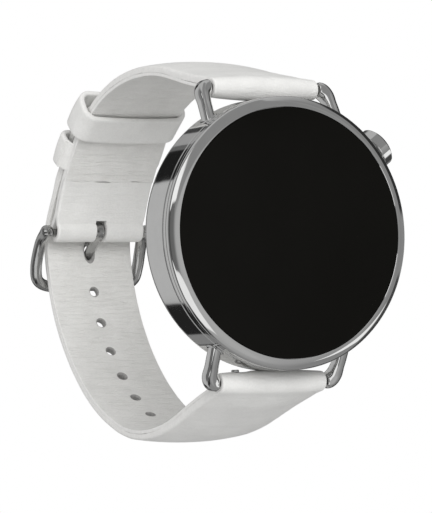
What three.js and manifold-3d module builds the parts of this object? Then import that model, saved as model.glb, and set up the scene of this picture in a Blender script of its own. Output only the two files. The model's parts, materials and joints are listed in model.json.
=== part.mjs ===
// A round smartwatch on a leather strap, buckled into its wrist loop.
//
// Millimetres. +Z points to 12 o'clock, +X to 3 o'clock and -Y out of the face.
// The origin is the centre of the flat case back, so the case lies at negative Y
// and the strap loop, where the wrist goes, at positive Y.
import * as THREE from 'three';
import { mergeVertices } from 'three/addons/utils/BufferGeometryUtils.js';
import Module from 'manifold-3d';

const wasm = await Module();
wasm.setup();
const watch = new THREE.Group();

// ---------------------------------------------------------------- driving dimensions
const CASE_RADIUS = 21.0;
const CASE_DEPTH = 11.0;
const GLASS_RADIUS = 19.3;
const BEZEL_DEPTH = 2.4;
const WALL_DEPTH = 5.0;
const CASE_BORE = 17.2;
const BACK_FLAT_RADIUS = 16.9;

const LUG_GAP = 19.5;
const BAR_HALF_SPACING = 22.71;
const BAR_DEPTH = 7.44;

const ROLL_RADIUS = 1.55;
const STRAP_HALF_AT_LUG = 9.3;
const SHORT_STRAP_HALF = 8.4;
const LONG_STRAP_HALF = 8.0;
const STRAP_THICK_AT_LUG = 1.8;
const SHORT_STRAP_THICK = 1.6;
const LONG_STRAP_THICK = 1.5;
const LINING_THICK = 0.55;
const LAYER_PITCH = 2.05;
const HOLE_RADIUS = 1.05;
const HOLE_PITCH = 6.0;
const HOLES_IN_SIGHT = 6;

const CROWN_ANGLE = 54;
const CROWN_RADIUS = 3.2;
const CROWN_DEPTH = 4.9;

const BUCKLE_BAR_RADIUS = 0.5;
const TONGUE_HALF_WIDTH = 0.8;

// Planes of the case, along Y.
const FRONT_Y = -CASE_DEPTH;
const SEAM_Y = FRONT_Y + BEZEL_DEPTH;
const WALL_END_Y = SEAM_Y + WALL_DEPTH;
const BAR_Y = BAR_DEPTH - CASE_DEPTH;
const CROWN_Y = CROWN_DEPTH - CASE_DEPTH;
const UPPER_BAR = new THREE.Vector2(BAR_Y, BAR_HALF_SPACING);
const LOWER_BAR = new THREE.Vector2(BAR_Y, -BAR_HALF_SPACING);

const ROUND = 48;
const HIDDEN_ROUND = 28;
const SMALL_ROUND = 16;
const PIN_ROUND = 10;

// ---------------------------------------------------------------- colours and finishes
const finish = (color, roughness, metalness) =>
  new THREE.MeshStandardMaterial({ color, roughness, metalness });
const STEEL = finish(0xc9cac8, 0.12, 1.0);
const DULL_STEEL = finish(0x9a9b9a, 0.35, 1.0);
const GLASS = finish(0x10110f, 0.04, 0.0);
const SCREEN = finish(0x050505, 0.3, 0.0);
const LEATHER = finish(0xd3d2ce, 0.6, 0.0);
const LINING = finish(0xc4c3c0, 0.75, 0.0);
const RUBBER = finish(0x1b1b1b, 0.8, 0.0);
const PLASTIC = finish(0x26272a, 0.5, 0.0);
const BOARD = finish(0x12402b, 0.5, 0.0);
const CELL = finish(0x8e9298, 0.4, 0.2);
const COPPER = finish(0xb66a38, 0.35, 1.0);

// ---------------------------------------------------------------- solids
const rad = THREE.MathUtils.degToRad;
const lerp = THREE.MathUtils.lerp;
const clamp = THREE.MathUtils.clamp;

// Welds a geometry's vertices, drops empty triangles and turns its faces outwards.
function closed(geometry) {
  const bare = geometry.clone();
  bare.deleteAttribute('normal');
  bare.deleteAttribute('uv');
  const welded = mergeVertices(bare, 1e-5);
  const source = welded.index.array;
  const place = welded.attributes.position;
  const corner = [new THREE.Vector3(), new THREE.Vector3(), new THREE.Vector3()];
  const kept = [];
  let volume = 0;
  for (let i = 0; i < source.length; i += 3) {
    const [a, b, c] = source.slice(i, i + 3);
    if (a === b || b === c || c === a) continue;
    kept.push([a, b, c]);
    [a, b, c].forEach((vertex, n) => corner[n].fromBufferAttribute(place, vertex));
    volume += corner[0].dot(corner[1].clone().cross(corner[2]));
  }
  const facing = volume < 0 ? kept.map(([a, b, c]) => [a, c, b]) : kept;
  welded.setIndex(facing.flat());
  return welded;
}

function toSolid(geometry) {
  const shell = closed(geometry);
  return new wasm.Manifold(new wasm.Mesh({
    numProp: 3,
    vertProperties: new Float32Array(shell.attributes.position.array),
    triVerts: new Uint32Array(shell.index.array),
  }));
}

function toGeometry(solid) {
  const { vertProperties, triVerts } = solid.getMesh();
  const geometry = new THREE.BufferGeometry();
  geometry.setAttribute('position', new THREE.BufferAttribute(vertProperties, 3));
  geometry.setIndex(new THREE.BufferAttribute(triVerts, 1));
  return geometry;
}

const join = (first, ...rest) =>
  toGeometry(rest.reduce((solid, next) => solid.add(toSolid(next)), toSolid(first)));
const cut = (first, ...rest) =>
  toGeometry(rest.reduce((solid, next) => solid.subtract(toSolid(next)), toSolid(first)));

function add(parent, name, geometry, material) {
  const mesh = new THREE.Mesh(closed(geometry), material);
  mesh.name = name;
  parent.add(mesh);
  return mesh;
}

// A turned body about the Y axis from [radius, y] points.
const turned = (profile, sides = ROUND) =>
  new THREE.LatheGeometry(profile.map(([r, y]) => new THREE.Vector2(r, y)), sides);
const closedTurned = (profile, sides = ROUND) => turned([...profile, profile[0]], sides);
const disc = (radius, y0, y1, sides = ROUND) =>
  turned([[0, y0], [radius, y0], [radius, y1], [0, y1]], sides);
const ring = (inner, outer, y0, y1, sides = ROUND) =>
  closedTurned([[inner, y0], [outer, y0], [outer, y1], [inner, y1]], sides);

// The same bodies about the X axis through a point of the side view.
const onX = (geometry, centre) =>
  geometry.rotateZ(-Math.PI / 2).translate(0, centre.x, centre.y);
const rod = (radius, x0, x1, centre, sides = SMALL_ROUND) =>
  onX(disc(radius, x0, x1, sides), centre);
const tube = (inner, outer, x0, x1, centre, sides = SMALL_ROUND) =>
  onX(ring(inner, outer, x0, x1, sides), centre);

function box(x0, x1, y0, y1, z0, z1) {
  const block = new THREE.BoxGeometry(x1 - x0, y1 - y0, z1 - z0);
  return block.translate((x0 + x1) / 2, (y0 + y1) / 2, (z0 + z1) / 2);
}

// Points of an arc in a turned profile, from one angle to another, in degrees.
function arc(centreR, centreY, radius, from, to, steps) {
  return Array.from({ length: steps + 1 }, (_, i) => {
    const angle = rad(lerp(from, to, i / steps));
    return [centreR + radius * Math.cos(angle), centreY + radius * Math.sin(angle)];
  });
}

// A skin over a row of rings with the same number of points, with a fan at each end.
function skin(rings) {
  const count = rings[0].length;
  const corners = rings.flat();
  const faces = [];
  for (let r = 0; r < rings.length - 1; r += 1) {
    for (let i = 0; i < count; i += 1) {
      const a = r * count + i;
      const b = r * count + ((i + 1) % count);
      faces.push([a, b, b + count], [a, b + count, a + count]);
    }
  }
  const last = (rings.length - 1) * count;
  for (let i = 1; i < count - 1; i += 1) {
    faces.push([0, i + 1, i], [last, last + i, last + i + 1]);
  }
  const geometry = new THREE.BufferGeometry().setFromPoints(corners);
  geometry.setIndex(faces.flat());
  return closed(geometry);
}

// A rounded section swept along a curve. size(t) gives its half width and half depth;
// the depth stays as close to the Y axis as the curve allows.
function swept(curve, steps, sides, size) {
  const rings = [];
  for (let i = 0; i <= steps; i += 1) {
    const t = i / steps;
    const centre = curve.getPointAt(t);
    const along = curve.getTangentAt(t);
    const deep = new THREE.Vector3(0, 1, 0).addScaledVector(along, -along.y).normalize();
    const wide = new THREE.Vector3().crossVectors(along, deep);
    const [halfWide, halfDeep] = size(t);
    rings.push(Array.from({ length: sides }, (_, n) => {
      const angle = (2 * Math.PI * (n + 0.5)) / sides;
      const soft = (value) => Math.sign(value) * Math.abs(value) ** 0.75;
      return centre.clone()
        .addScaledVector(wide, halfWide * soft(Math.cos(angle)))
        .addScaledVector(deep, halfDeep * soft(Math.sin(angle)));
    }));
  }
  return skin(rings);
}

// ---------------------------------------------------------------- strap paths
// A path in the side view is a row of stations. Each holds its place (x is the watch's Y
// and y its Z), its heading and its distance from the start.
function arcChain(start, heading, arcs, step = 3.0) {
  const stations = [{ place: start.clone(), heading, s: 0 }];
  let { place, s } = stations[0];
  let angle = heading;
  for (const [length, turn] of arcs) {
    const count = Math.ceil(length / step);
    const bend = rad(turn) / count;
    const chord = (length / count) * (Math.sin(bend / 2) / (bend / 2));
    for (let i = 0; i < count; i += 1) {
      const way = angle + bend / 2;
      place = place.clone().add(new THREE.Vector2(Math.cos(way), Math.sin(way)).multiplyScalar(chord));
      angle += bend;
      s += length / count;
      stations.push({ place, heading: angle, s });
    }
  }
  return stations;
}

const leftOf = (heading) => new THREE.Vector2(-Math.sin(heading), Math.cos(heading));
const outOf = (station, side) => leftOf(station.heading).multiplyScalar(side);

// The station at a distance along a path, between its neighbours.
function stationAt(path, s) {
  const next = clamp(path.findIndex((station) => station.s >= s), 1, path.length - 1);
  const [a, b] = [path[next - 1], path[next]];
  const t = (s - a.s) / (b.s - a.s);
  return { place: a.place.clone().lerp(b.place, t), heading: lerp(a.heading, b.heading, t), s };
}

const stationNear = (path, s) =>
  path.reduce((best, station) => (Math.abs(station.s - s) < Math.abs(best - s) ? station.s : best), 0);

function stretch(path, s0, s1) {
  const inside = path.filter(({ s }) => s > s0 + 0.2 && s < s1 - 0.2);
  return [stationAt(path, s0), ...inside, stationAt(path, s1)];
}

// A band that follows stations. half(s) is its half width and [low, high](s) its two faces,
// measured outwards from the path. bevel takes the four corners off, and crown(s) raises
// the middle of the outer face.
function band(stations, side, half, faces, bevel = 0.3, crown = null) {
  return skin(stations.map((station) => {
    const out = outOf(station, side);
    const h = half(station.s);
    const [low, high] = faces(station.s);
    const b = Math.min(bevel, (high - low) / 3, h / 3);
    const section = [
      [b - h, low], [h - b, low], [h, low + b], [h, high - b],
      [h - b, high], [b - h, high], [-h, high - b], [-h, low + b],
    ];
    if (crown) section.splice(5, 0, [0.5 * h, high + crown(station.s)], [-0.5 * h, high + crown(station.s)]);
    return section.map(([x, n]) => {
      const place = station.place.clone().addScaledVector(out, n);
      return new THREE.Vector3(x, place.x, place.y);
    });
  }));
}

// Both straps start where they leave their roll, almost level with the roll's outer side.
const ROLL_PROUD = 0.06;
function strapStart(bar, heading, side) {
  const out = leftOf(heading).multiplyScalar(side);
  return bar.clone().addScaledVector(out, ROLL_RADIUS - ROLL_PROUD - STRAP_THICK_AT_LUG / 2);
}

const OUT_OF_SHORT = 1;
const OUT_OF_LONG = -1;
const SHORT_HEADING = rad(9.6);
const SHORT_ARCS = [[14, 4.8], [12.6, -16.7], [11.1, -15.3], [13.2, -28.3], [12.8, -17.9], [4.5, -11.5]];
const LONG_HEADING = rad(-15.3);
const LONG_ARCS = [[15.3, -5.4], [12, 16.6], [12.9, 25.4], [12.1, 19.5], [11.3, 17.1], [11, 18.9]];

const shortPath = arcChain(strapStart(UPPER_BAR, SHORT_HEADING, OUT_OF_SHORT), SHORT_HEADING, SHORT_ARCS);
const shortEnd = shortPath.at(-1);
const BUCKLE_ROLL_RADIUS = 1.8;
const BUCKLE_BAR = shortEnd.place.clone().add(new THREE.Vector2(0.4, -0.25));

// The long strap runs free to just below the buckle, bulges out past the buckle's roll and
// then lies LAYER_PITCH outside the short strap up to its tip.
const BULGE_START_REACH = 8.5;
const BULGE_END_REACH = 8;
const TAIL_JOIN = 61;
const TAIL_TIP = 42.5;
function longStrapPath() {
  const free = arcChain(strapStart(LOWER_BAR, LONG_HEADING, OUT_OF_LONG), LONG_HEADING, LONG_ARCS);
  const tail = stretch(shortPath, TAIL_TIP, TAIL_JOIN).reverse().map(({ place, heading }) => ({
    place: place.clone().addScaledVector(leftOf(heading), LAYER_PITCH),
    heading: heading + Math.PI,
  }));
  const from = free.at(-1);
  const to = tail[0];
  const towards = (angle, length) =>
    new THREE.Vector2(Math.cos(angle), Math.sin(angle)).multiplyScalar(length);
  const bulge = new THREE.CubicBezierCurve(
    from.place,
    from.place.clone().add(towards(from.heading, BULGE_START_REACH)),
    to.place.clone().sub(towards(to.heading, BULGE_END_REACH)),
    to.place,
  );
  const steps = 14;
  const bridge = Array.from({ length: steps - 1 }, (_, i) => {
    const t = (i + 1) / steps;
    const tangent = bulge.getTangent(t);
    return { place: bulge.getPoint(t), heading: Math.atan2(tangent.y, tangent.x) };
  });
  const path = [...free, ...bridge, ...tail];
  for (let i = 1; i < path.length; i += 1) {
    path[i] = { ...path[i], s: path[i - 1].s + path[i].place.distanceTo(path[i - 1].place) };
  }
  return path;
}
const longPath = longStrapPath();
const LONG_LENGTH = longPath.at(-1).s;

// Widths and thicknesses along the straps.
const taper = (s, over, from, to) => lerp(from, to, clamp(s / over, 0, 1));
const shortHalf = (s) => taper(s, 42, STRAP_HALF_AT_LUG, SHORT_STRAP_HALF)
  - 0.5 * clamp((s - shortEnd.s + 3) / 3, 0, 1);
const TIP_LENGTH = 9;
const tipRun = (s) => clamp((s - LONG_LENGTH + TIP_LENGTH) / TIP_LENGTH, 0, 0.98);
const tipTaper = (s) => Math.sqrt(1 - tipRun(s) ** 2);
const longHalf = (s) => taper(s, 40, STRAP_HALF_AT_LUG, LONG_STRAP_HALF) * tipTaper(s);
const shortThick = (s) => taper(s, 20, STRAP_THICK_AT_LUG, SHORT_STRAP_THICK);
const longThick = (s) => taper(s, 20, STRAP_THICK_AT_LUG, LONG_STRAP_THICK);

// The free lengths are padded: the middle of the outer face stands CROWNING above its edges.
const CROWNING = 0.4;
const swell = (s, from, to) => CROWNING * clamp((s - from) / 6, 0, 1) * clamp((to - s) / 6, 0, 1);
const shortCrown = (s) => swell(s, 2, 42);
const longCrown = (s) => swell(s, 2, 62);

// ---------------------------------------------------------------- case
const crownWay = new THREE.Vector3(Math.sin(rad(CROWN_ANGLE)), 0, Math.cos(rad(CROWN_ANGLE)));
const crownAside = new THREE.Vector3(crownWay.z, 0, -crownWay.x);
const crownTurn = new THREE.Quaternion().setFromRotationMatrix(
  new THREE.Matrix4().makeBasis(crownAside, crownWay, new THREE.Vector3(0, -1, 0)));
// A body turned about Y, laid along the crown's axis.
const onCrown = (geometry) => geometry.applyQuaternion(crownTurn).translate(0, CROWN_Y, 0);

const LUG_X = 11.3;
const LUG_ROOT_Y = -6.2;
const TENON_RADIUS = 0.6;
const tenonAt = (side, up) => ({ x: side * LUG_X, y: LUG_ROOT_Y, z: up * 17.4 });

// A round bar along Z, for the lug tenons and their holes.
function upright(radius, z0, z1, x, y) {
  const bar = new THREE.CylinderGeometry(radius, radius, Math.abs(z1 - z0), PIN_ROUND).rotateX(Math.PI / 2);
  return bar.translate(x, y, (z0 + z1) / 2);
}

const SCREW_CIRCLE = 15.6;
const SCREW_ANGLES = [25, 155, 205, 335];
const screwPlace = (angle) => [SCREW_CIRCLE * Math.sin(rad(angle)), SCREW_CIRCLE * Math.cos(rad(angle))];
const BOSS_END_Y = -2.6;
const BOSS_START_Y = -7.35;

function midCase() {
  const shell = closedTurned([
    [CASE_BORE, SEAM_Y + 0.4],
    [19.5, SEAM_Y + 0.4],
    [19.5, SEAM_Y],
    [20.85, SEAM_Y],
    [CASE_RADIUS, SEAM_Y + 0.12],
    ...arc(CASE_RADIUS - 2.0, WALL_END_Y, 2.0, 0, 72, 4),
    [18.55, WALL_END_Y + 2.0],
    [18.55, BOSS_END_Y],
    [CASE_BORE, BOSS_END_Y],
  ]);
  const bosses = SCREW_ANGLES.map((angle) => {
    const [x, z] = screwPlace(angle);
    const [outX, outZ] = [x * 1.07, z * 1.07];
    const post = disc(1.9, BOSS_START_Y, BOSS_END_Y, PIN_ROUND).translate(x, 0, z);
    const web = disc(1.5, BOSS_START_Y, BOSS_END_Y, PIN_ROUND).translate(outX, 0, outZ);
    return [post, web];
  }).flat();
  const threads = SCREW_ANGLES.map((angle) => {
    const [x, z] = screwPlace(angle);
    return disc(0.7, BOSS_END_Y - 2.9, BOSS_END_Y + 1, PIN_ROUND).translate(x, 0, z);
  });
  const tenons = [-1, 1].flatMap((side) => [-1, 1].map((up) => {
    const { x, y, z } = tenonAt(side, up);
    return upright(TENON_RADIUS + 0.3, z - up * 1.6, z + up * 3, x, y);
  }));
  const crownBore = onCrown(disc(1.6, 15, 23, SMALL_ROUND));
  return cut(join(shell, ...bosses), ...threads, ...tenons, crownBore);
}

// The bezel: a softly crowned flat ring round the glass, a rounded edge, a groove and a foot.
function bezelRing() {
  const edge = 0.5;
  return closedTurned([
    [GLASS_RADIUS + 0.03, FRONT_Y],
    [20.0, FRONT_Y + 0.14],
    ...arc(CASE_RADIUS - edge, FRONT_Y + 0.38 + edge, edge, -80, 0, 3),
    [CASE_RADIUS, FRONT_Y + 1.3],
    [20.72, FRONT_Y + 1.45],
    [20.72, FRONT_Y + 1.6],
    [20.95, FRONT_Y + 1.7],
    [20.95, SEAM_Y - 0.05],
    [18.45, SEAM_Y - 0.05],
    [18.45, FRONT_Y + 1.0],
    [GLASS_RADIUS + 0.03, FRONT_Y + 1.0],
  ]);
}

function caseBack() {
  const plate = closedTurned([
    [6.05, 0],
    [BACK_FLAT_RADIUS, 0],
    ...arc(BACK_FLAT_RADIUS, -1.5, 1.5, 90, 15, 3).slice(1),
    [18.35, -2.2],
    [17.3, -2.2],
    [17.3, -1.2],
    [6.05, -1.2],
  ]);
  const recesses = SCREW_ANGLES.flatMap((angle) => {
    const [x, z] = screwPlace(angle);
    const head = disc(1.15, -0.6, 1, SMALL_ROUND).translate(x, 0, z);
    const shank = disc(0.65, -3, 1, PIN_ROUND).translate(x, 0, z);
    return [head, shank];
  });
  return cut(plate, ...recesses);
}

function backScrew(angle) {
  const [x, z] = screwPlace(angle);
  const body = turned([[0, -5.2], [0.5, -5.0], [0.5, -0.55], [1.0, -0.55], [1.0, -0.1], [0, -0.1]],
    PIN_ROUND);
  const slot = box(-0.8, 0.8, -0.3, 0.2, -0.12, 0.12);
  return cut(body, slot).translate(x, 0, z);
}

add(watch, 'mid_case', midCase(), STEEL);
add(watch, 'bezel', bezelRing(), STEEL);
add(watch, 'case_back', caseBack(), DULL_STEEL);
SCREW_ANGLES.forEach((angle, i) => add(watch, `back_screw_${i + 1}`, backScrew(angle), DULL_STEEL));
add(watch, 'sensor_window', disc(5.95, -1.2, 0, HIDDEN_ROUND), GLASS);

add(watch, 'cover_glass', turned([
  [0, FRONT_Y + 0.85], [GLASS_RADIUS - 0.05, FRONT_Y + 0.85], [GLASS_RADIUS - 0.05, FRONT_Y + 0.12],
  [GLASS_RADIUS - 0.17, FRONT_Y + 0.02], [0, FRONT_Y + 0.02],
]), GLASS);
add(watch, 'display_panel', disc(18.2, FRONT_Y + 0.95, FRONT_Y + 1.75, HIDDEN_ROUND), SCREEN);
add(watch, 'display_carrier', disc(17.0, FRONT_Y + 1.85, FRONT_Y + 2.45, HIDDEN_ROUND), PLASTIC);
add(watch, 'front_gasket', ring(18.6, 19.3, SEAM_Y + 0.02, SEAM_Y + 0.36, HIDDEN_ROUND), RUBBER);
add(watch, 'back_gasket', ring(17.5, 18.3, BOSS_END_Y + 0.03, BOSS_END_Y + 0.35, HIDDEN_ROUND), RUBBER);

// ---------------------------------------------------------------- electronics
const BOARD_Y = [-8.1, -7.4];
add(watch, 'main_board', disc(15.5, ...BOARD_Y, HIDDEN_ROUND), BOARD);
add(watch, 'chip_shield', box(-4.6, 4.6, -7.38, -6.2, 8.2, 13.0), DULL_STEEL);
add(watch, 'battery', box(-12, 7, -7.3, -3.6, -10, 6.5), CELL);
add(watch, 'charging_coil', ring(6.6, 11.2, -3.1, -2.6, HIDDEN_ROUND), COPPER);
add(watch, 'sensor_board', join(
  disc(5.4, -2.3, -1.75, SMALL_ROUND),
  ...[[0, 0], [2.6, 0], [-2.6, 0], [0, 2.6]].map(([x, z]) =>
    box(x - 0.6, x + 0.6, -1.9, -1.4, z - 0.6, z + 0.6)),
), BOARD);

const MOTOR_AXIS = new THREE.Vector2(-5.1, -13);
add(watch, 'motor_case', cut(
  rod(2.0, -4.2, 4.2, MOTOR_AXIS),
  rod(1.75, -5, 2.6, MOTOR_AXIS),
  rod(0.45, 0, 3.7, MOTOR_AXIS, PIN_ROUND),
), DULL_STEEL);

// An off-centre weight on a shaft that turns in the end wall of the motor case.
function motorRotor() {
  const shaft = rod(0.35, -3.9, 3.5, MOTOR_AXIS, PIN_ROUND);
  const weight = cut(
    rod(1.4, -3.6, 1.6, MOTOR_AXIS),
    box(-5, 5, MOTOR_AXIS.x - 3, MOTOR_AXIS.x + 3, MOTOR_AXIS.y + 0.15, MOTOR_AXIS.y + 3),
  );
  return join(weight, shaft);
}
add(watch, 'motor_rotor', motorRotor(), DULL_STEEL);

// ---------------------------------------------------------------- crown and its switch
const crown = new THREE.Group();
crown.position.set(0, CROWN_Y, 0);
crown.quaternion.copy(crownTurn);
watch.add(crown);

const KNOB_BASE = 21.6;
const KNOB_END = 23.95;
const STEM_END = 13.9;
add(crown, 'crown_tube', ring(0.85, 1.3, 16.6, 22.1, SMALL_ROUND), STEEL);
add(crown, 'crown_knob', turned([
  [0, KNOB_END], [2.2, KNOB_END - 0.02], [2.75, KNOB_END - 0.12], [CROWN_RADIUS, KNOB_END - 0.45],
  [CROWN_RADIUS, KNOB_BASE + 0.2], [CROWN_RADIUS - 0.2, KNOB_BASE], [2.3, KNOB_BASE], [2.3, KNOB_END - 0.9],
  [0, KNOB_END - 0.9],
], 30), STEEL);
add(crown, 'crown_stem', turned([
  [0, STEM_END], [0.6, STEM_END], [0.6, 15.4], [0.35, 15.4], [0.35, 16.1], [0.6, 16.1],
  [0.6, KNOB_END - 1.2], [0, KNOB_END - 1.2],
], PIN_ROUND), DULL_STEEL);
add(crown, 'crown_gasket', ring(1.6, 2.0, 21.9, 22.6, SMALL_ROUND), RUBBER);
add(crown, 'crown_clip', ring(0.5, 1.25, 15.6, 15.9, SMALL_ROUND), DULL_STEEL);
add(crown, 'switch_body', cut(
  box(-1.6, 1.6, 10.9, 13.1, -1.0, 1.25),
  disc(0.75, 12.0, 14, PIN_ROUND),
), PLASTIC);
add(crown, 'switch_plunger', disc(0.45, 12.6, STEM_END - 0.3, PIN_ROUND), DULL_STEEL);

// ---------------------------------------------------------------- lugs and spring bars
const LUG_FACE = LUG_GAP / 2;
const PIN_HOLE_END = LUG_FACE + 1.2;
const PIN_RADIUS = 0.4;

// A lug rises from the case wall, leans back and hooks inwards over the end of its bar.
function lug(side, up) {
  const bar = BAR_HALF_SPACING;
  const spine = new THREE.CatmullRomCurve3([
    new THREE.Vector3(side * 11.4, -6.9, up * 16.4),
    new THREE.Vector3(side * 11.35, -6.1, up * 18.2),
    new THREE.Vector3(side * 11.25, -5.0, up * 20.2),
    new THREE.Vector3(side * 10.95, -4.0, up * (bar - 0.95)),
    new THREE.Vector3(side * 10.2, BAR_Y - 0.05, up * (bar - 0.1)),
    new THREE.Vector3(side * 8.9, BAR_Y, up * (bar + 0.05)),
  ], false, 'centripetal');
  const arm = swept(spine, 12, 10, (t) => {
    const grow = clamp((t - 0.4) / 0.4, 0, 1);
    return [lerp(0.8, 1.4, grow), lerp(1.15, 1.3, grow)];
  });
  const { x, y, z } = tenonAt(side, up);
  const tenon = upright(TENON_RADIUS, z - up * 1.2, z + up * 1.6, x, y);
  const caseRoom = disc(CASE_RADIUS + 0.08, -20, 5);
  const inward = box(Math.min(0, side * LUG_FACE), Math.max(0, side * LUG_FACE), -10, 2, -30, 30);
  const pinHole = rod(PIN_RADIUS + 0.2, Math.min(side * 9, side * PIN_HOLE_END),
    Math.max(side * 9, side * PIN_HOLE_END), up > 0 ? UPPER_BAR : LOWER_BAR, PIN_ROUND);
  return join(cut(arm, caseRoom, inward, pinHole), tenon);
}
add(watch, 'lug_upper_left', lug(-1, 1), STEEL);
add(watch, 'lug_upper_right', lug(1, 1), STEEL);
add(watch, 'lug_lower_left', lug(-1, -1), STEEL);
add(watch, 'lug_lower_right', lug(1, -1), STEEL);

const TUBE_RADIUS = 0.7;
const TUBE_BORE = 0.48;
const TUBE_END = 8.4;
const LEVER_X = -6.3;
const RELEASE_TRAVEL = 1.3;
const SLOT = [LEVER_X - 0.45, LEVER_X + RELEASE_TRAVEL + 0.45];
// The way each lever stands off its bar, in degrees from +Y towards +Z.
const UPPER_LEVER = -30;
const LOWER_LEVER = 90;

// Puts a body that was built along +Z from the origin onto a bar, turned to the lever's side.
const onLever = (geometry, bar, lever) =>
  geometry.rotateX(rad(lever - 90)).translate(0, bar.x, bar.y);

// A block through one wall of a bar or roll, for the lever to slide in.
const slotBlock = (bar, lever, [x0, x1], halfWide, reach) =>
  onLever(box(x0, x1, -halfWide, halfWide, 0, reach), bar, lever);

function releasePin(bar, lever, tip) {
  const pin = rod(PIN_RADIUS, -tip, LEVER_X + 0.7, bar, PIN_ROUND);
  const stalk = onLever(upright(0.28, 0, 1.8, LEVER_X, 0), bar, lever);
  const knob = onLever(upright(0.62, 1.58, 2.05, LEVER_X, 0), bar, lever);
  return join(pin, stalk, knob);
}

class Coil extends THREE.Curve {
  constructor(centre, radius, turns, x0, x1) {
    super();
    Object.assign(this, { centre, radius, turns, x0, x1 });
  }

  getPoint(t, target = new THREE.Vector3()) {
    const angle = 2 * Math.PI * this.turns * t;
    const place = [Math.cos(angle), Math.sin(angle)].map((way) => this.radius * way);
    return target.set(lerp(this.x0, this.x1, t), this.centre.x + place[0], this.centre.y + place[1]);
  }
}

function coilSpring(bar) {
  const turns = 5;
  const coil = new Coil(bar, 0.3, turns, LEVER_X + 0.95, -1.75);
  const wire = new THREE.Shape().absarc(0, 0, 0.09, 0, 2 * Math.PI);
  return new THREE.ExtrudeGeometry(wire, { extrudePath: coil, steps: turns * 8, curveSegments: 2 });
}

// The upper bar's pins sit in their lugs. The lower bar's stop short of theirs, drawn back
// for the strap to swing clear.
function springBar(name, bar, lever, tip) {
  const slotted = cut(
    tube(TUBE_BORE, TUBE_RADIUS, -TUBE_END, TUBE_END, bar),
    slotBlock(bar, lever, SLOT, 0.4, 2),
  );
  add(watch, `${name}_bar_tube`, slotted, DULL_STEEL);
  add(watch, `${name}_bar_pin`, rod(PIN_RADIUS, -1.5, tip, bar, PIN_ROUND), DULL_STEEL);
  add(watch, `${name}_bar_spring`, coilSpring(bar), DULL_STEEL);
  add(watch, `${name}_release_pin`, releasePin(bar, lever, tip), DULL_STEEL);
}
springBar('upper', UPPER_BAR, UPPER_LEVER, PIN_HOLE_END - 0.2);
springBar('lower', LOWER_BAR, LOWER_LEVER, LUG_FACE - 0.15);

// ---------------------------------------------------------------- straps
const STRAP_BORE = TUBE_RADIUS + 0.06;
const LINING_GAP = 0.03;
const LINING_END_GAP = 0.05;
const LEATHER_SLOT = [LEVER_X - 0.65, LEVER_X + RELEASE_TRAVEL + 1.4];

// The keeper that is sewn in has its inner leg between the leather and the lining.
const FIXED_KEEPER_AT = 54.7;
const FIXED_KEEPER_HALF = 2.5;
const KEEPER_LEG = 0.38;
const FLAP_START = stationNear(shortPath, 59);

const fullFaces = (thick) => (s) => [-thick(s) / 2, thick(s) / 2];
const leatherFaces = (thick) => (s) => [LINING_THICK + LINING_GAP - thick(s) / 2, thick(s) / 2];
const liningFaces = (thick) => (s) => [-thick(s) / 2, LINING_THICK - thick(s) / 2];

function lugRoll(bar, lever) {
  const roll = rod(ROLL_RADIUS, -STRAP_HALF_AT_LUG, STRAP_HALF_AT_LUG, bar);
  const bore = rod(STRAP_BORE, -12, 12, bar);
  return { roll, bore, slot: slotBlock(bar, lever, LEATHER_SLOT, 0.75, 3) };
}

function shortStrap() {
  const { roll, bore, slot } = lugRoll(UPPER_BAR, UPPER_LEVER);
  const root = band(stretch(shortPath, 0, shortPath[1].s), OUT_OF_SHORT, shortHalf, fullFaces(shortThick));
  const leather = band(stretch(shortPath, 0, shortEnd.s), OUT_OF_SHORT, shortHalf,
    leatherFaces(shortThick), 0.3, shortCrown);
  const flap = band(stretch(shortPath, FLAP_START, shortEnd.s), OUT_OF_SHORT, shortHalf,
    fullFaces(shortThick));
  const buckleRoll = rod(BUCKLE_ROLL_RADIUS, -shortHalf(shortEnd.s), shortHalf(shortEnd.s), BUCKLE_BAR);
  const buckleBore = rod(BUCKLE_BAR_RADIUS + 0.1, -12, 12, BUCKLE_BAR);
  const notchHalf = TONGUE_HALF_WIDTH + 0.45;
  const notch = box(-notchHalf, notchHalf, BUCKLE_BAR.x - 2.2, BUCKLE_BAR.x + 3, BUCKLE_BAR.y - 3, BUCKLE_BAR.y + 1.75);
  const keeperRoom = band(
    stretch(shortPath, FIXED_KEEPER_AT - FIXED_KEEPER_HALF - 0.2, FIXED_KEEPER_AT + FIXED_KEEPER_HALF + 0.2),
    OUT_OF_SHORT, () => 12, () => [-0.6, 0.28], 0,
  );
  return cut(join(leather, root, flap, roll, buckleRoll), bore, slot, buckleBore, notch, keeperRoom);
}

// Punched holes run straight through the long strap. The tongue's hole lies USED_HOLE_DROP
// below the buckle's bar and is drawn out into a slot. One more lies beyond it and the rest
// run back towards the case.
const USED_HOLE_DROP = 4.35;
const SLOT_STRETCH = 2.25;
function strapHoles() {
  const after = longPath.findIndex(({ place, s }) => s > 60 && place.y > BUCKLE_BAR.y - USED_HOLE_DROP);
  const [a, b] = [longPath[after - 1], longPath[after]];
  const t = (BUCKLE_BAR.y - USED_HOLE_DROP - a.place.y) / (b.place.y - a.place.y);
  const used = lerp(a.s, b.s, t);
  return Array.from({ length: HOLES_IN_SIGHT + 2 }, (_, i) => {
    const station = stationAt(longPath, used + (1 - i) * HOLE_PITCH);
    return disc(HOLE_RADIUS, -2.5, 2.5, 10)
      .scale(1, 1, i === 1 ? SLOT_STRETCH : 1)
      .rotateX(station.heading - Math.PI / 2)
      .translate(0, station.place.x, station.place.y);
  });
}
const punches = strapHoles();

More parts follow.
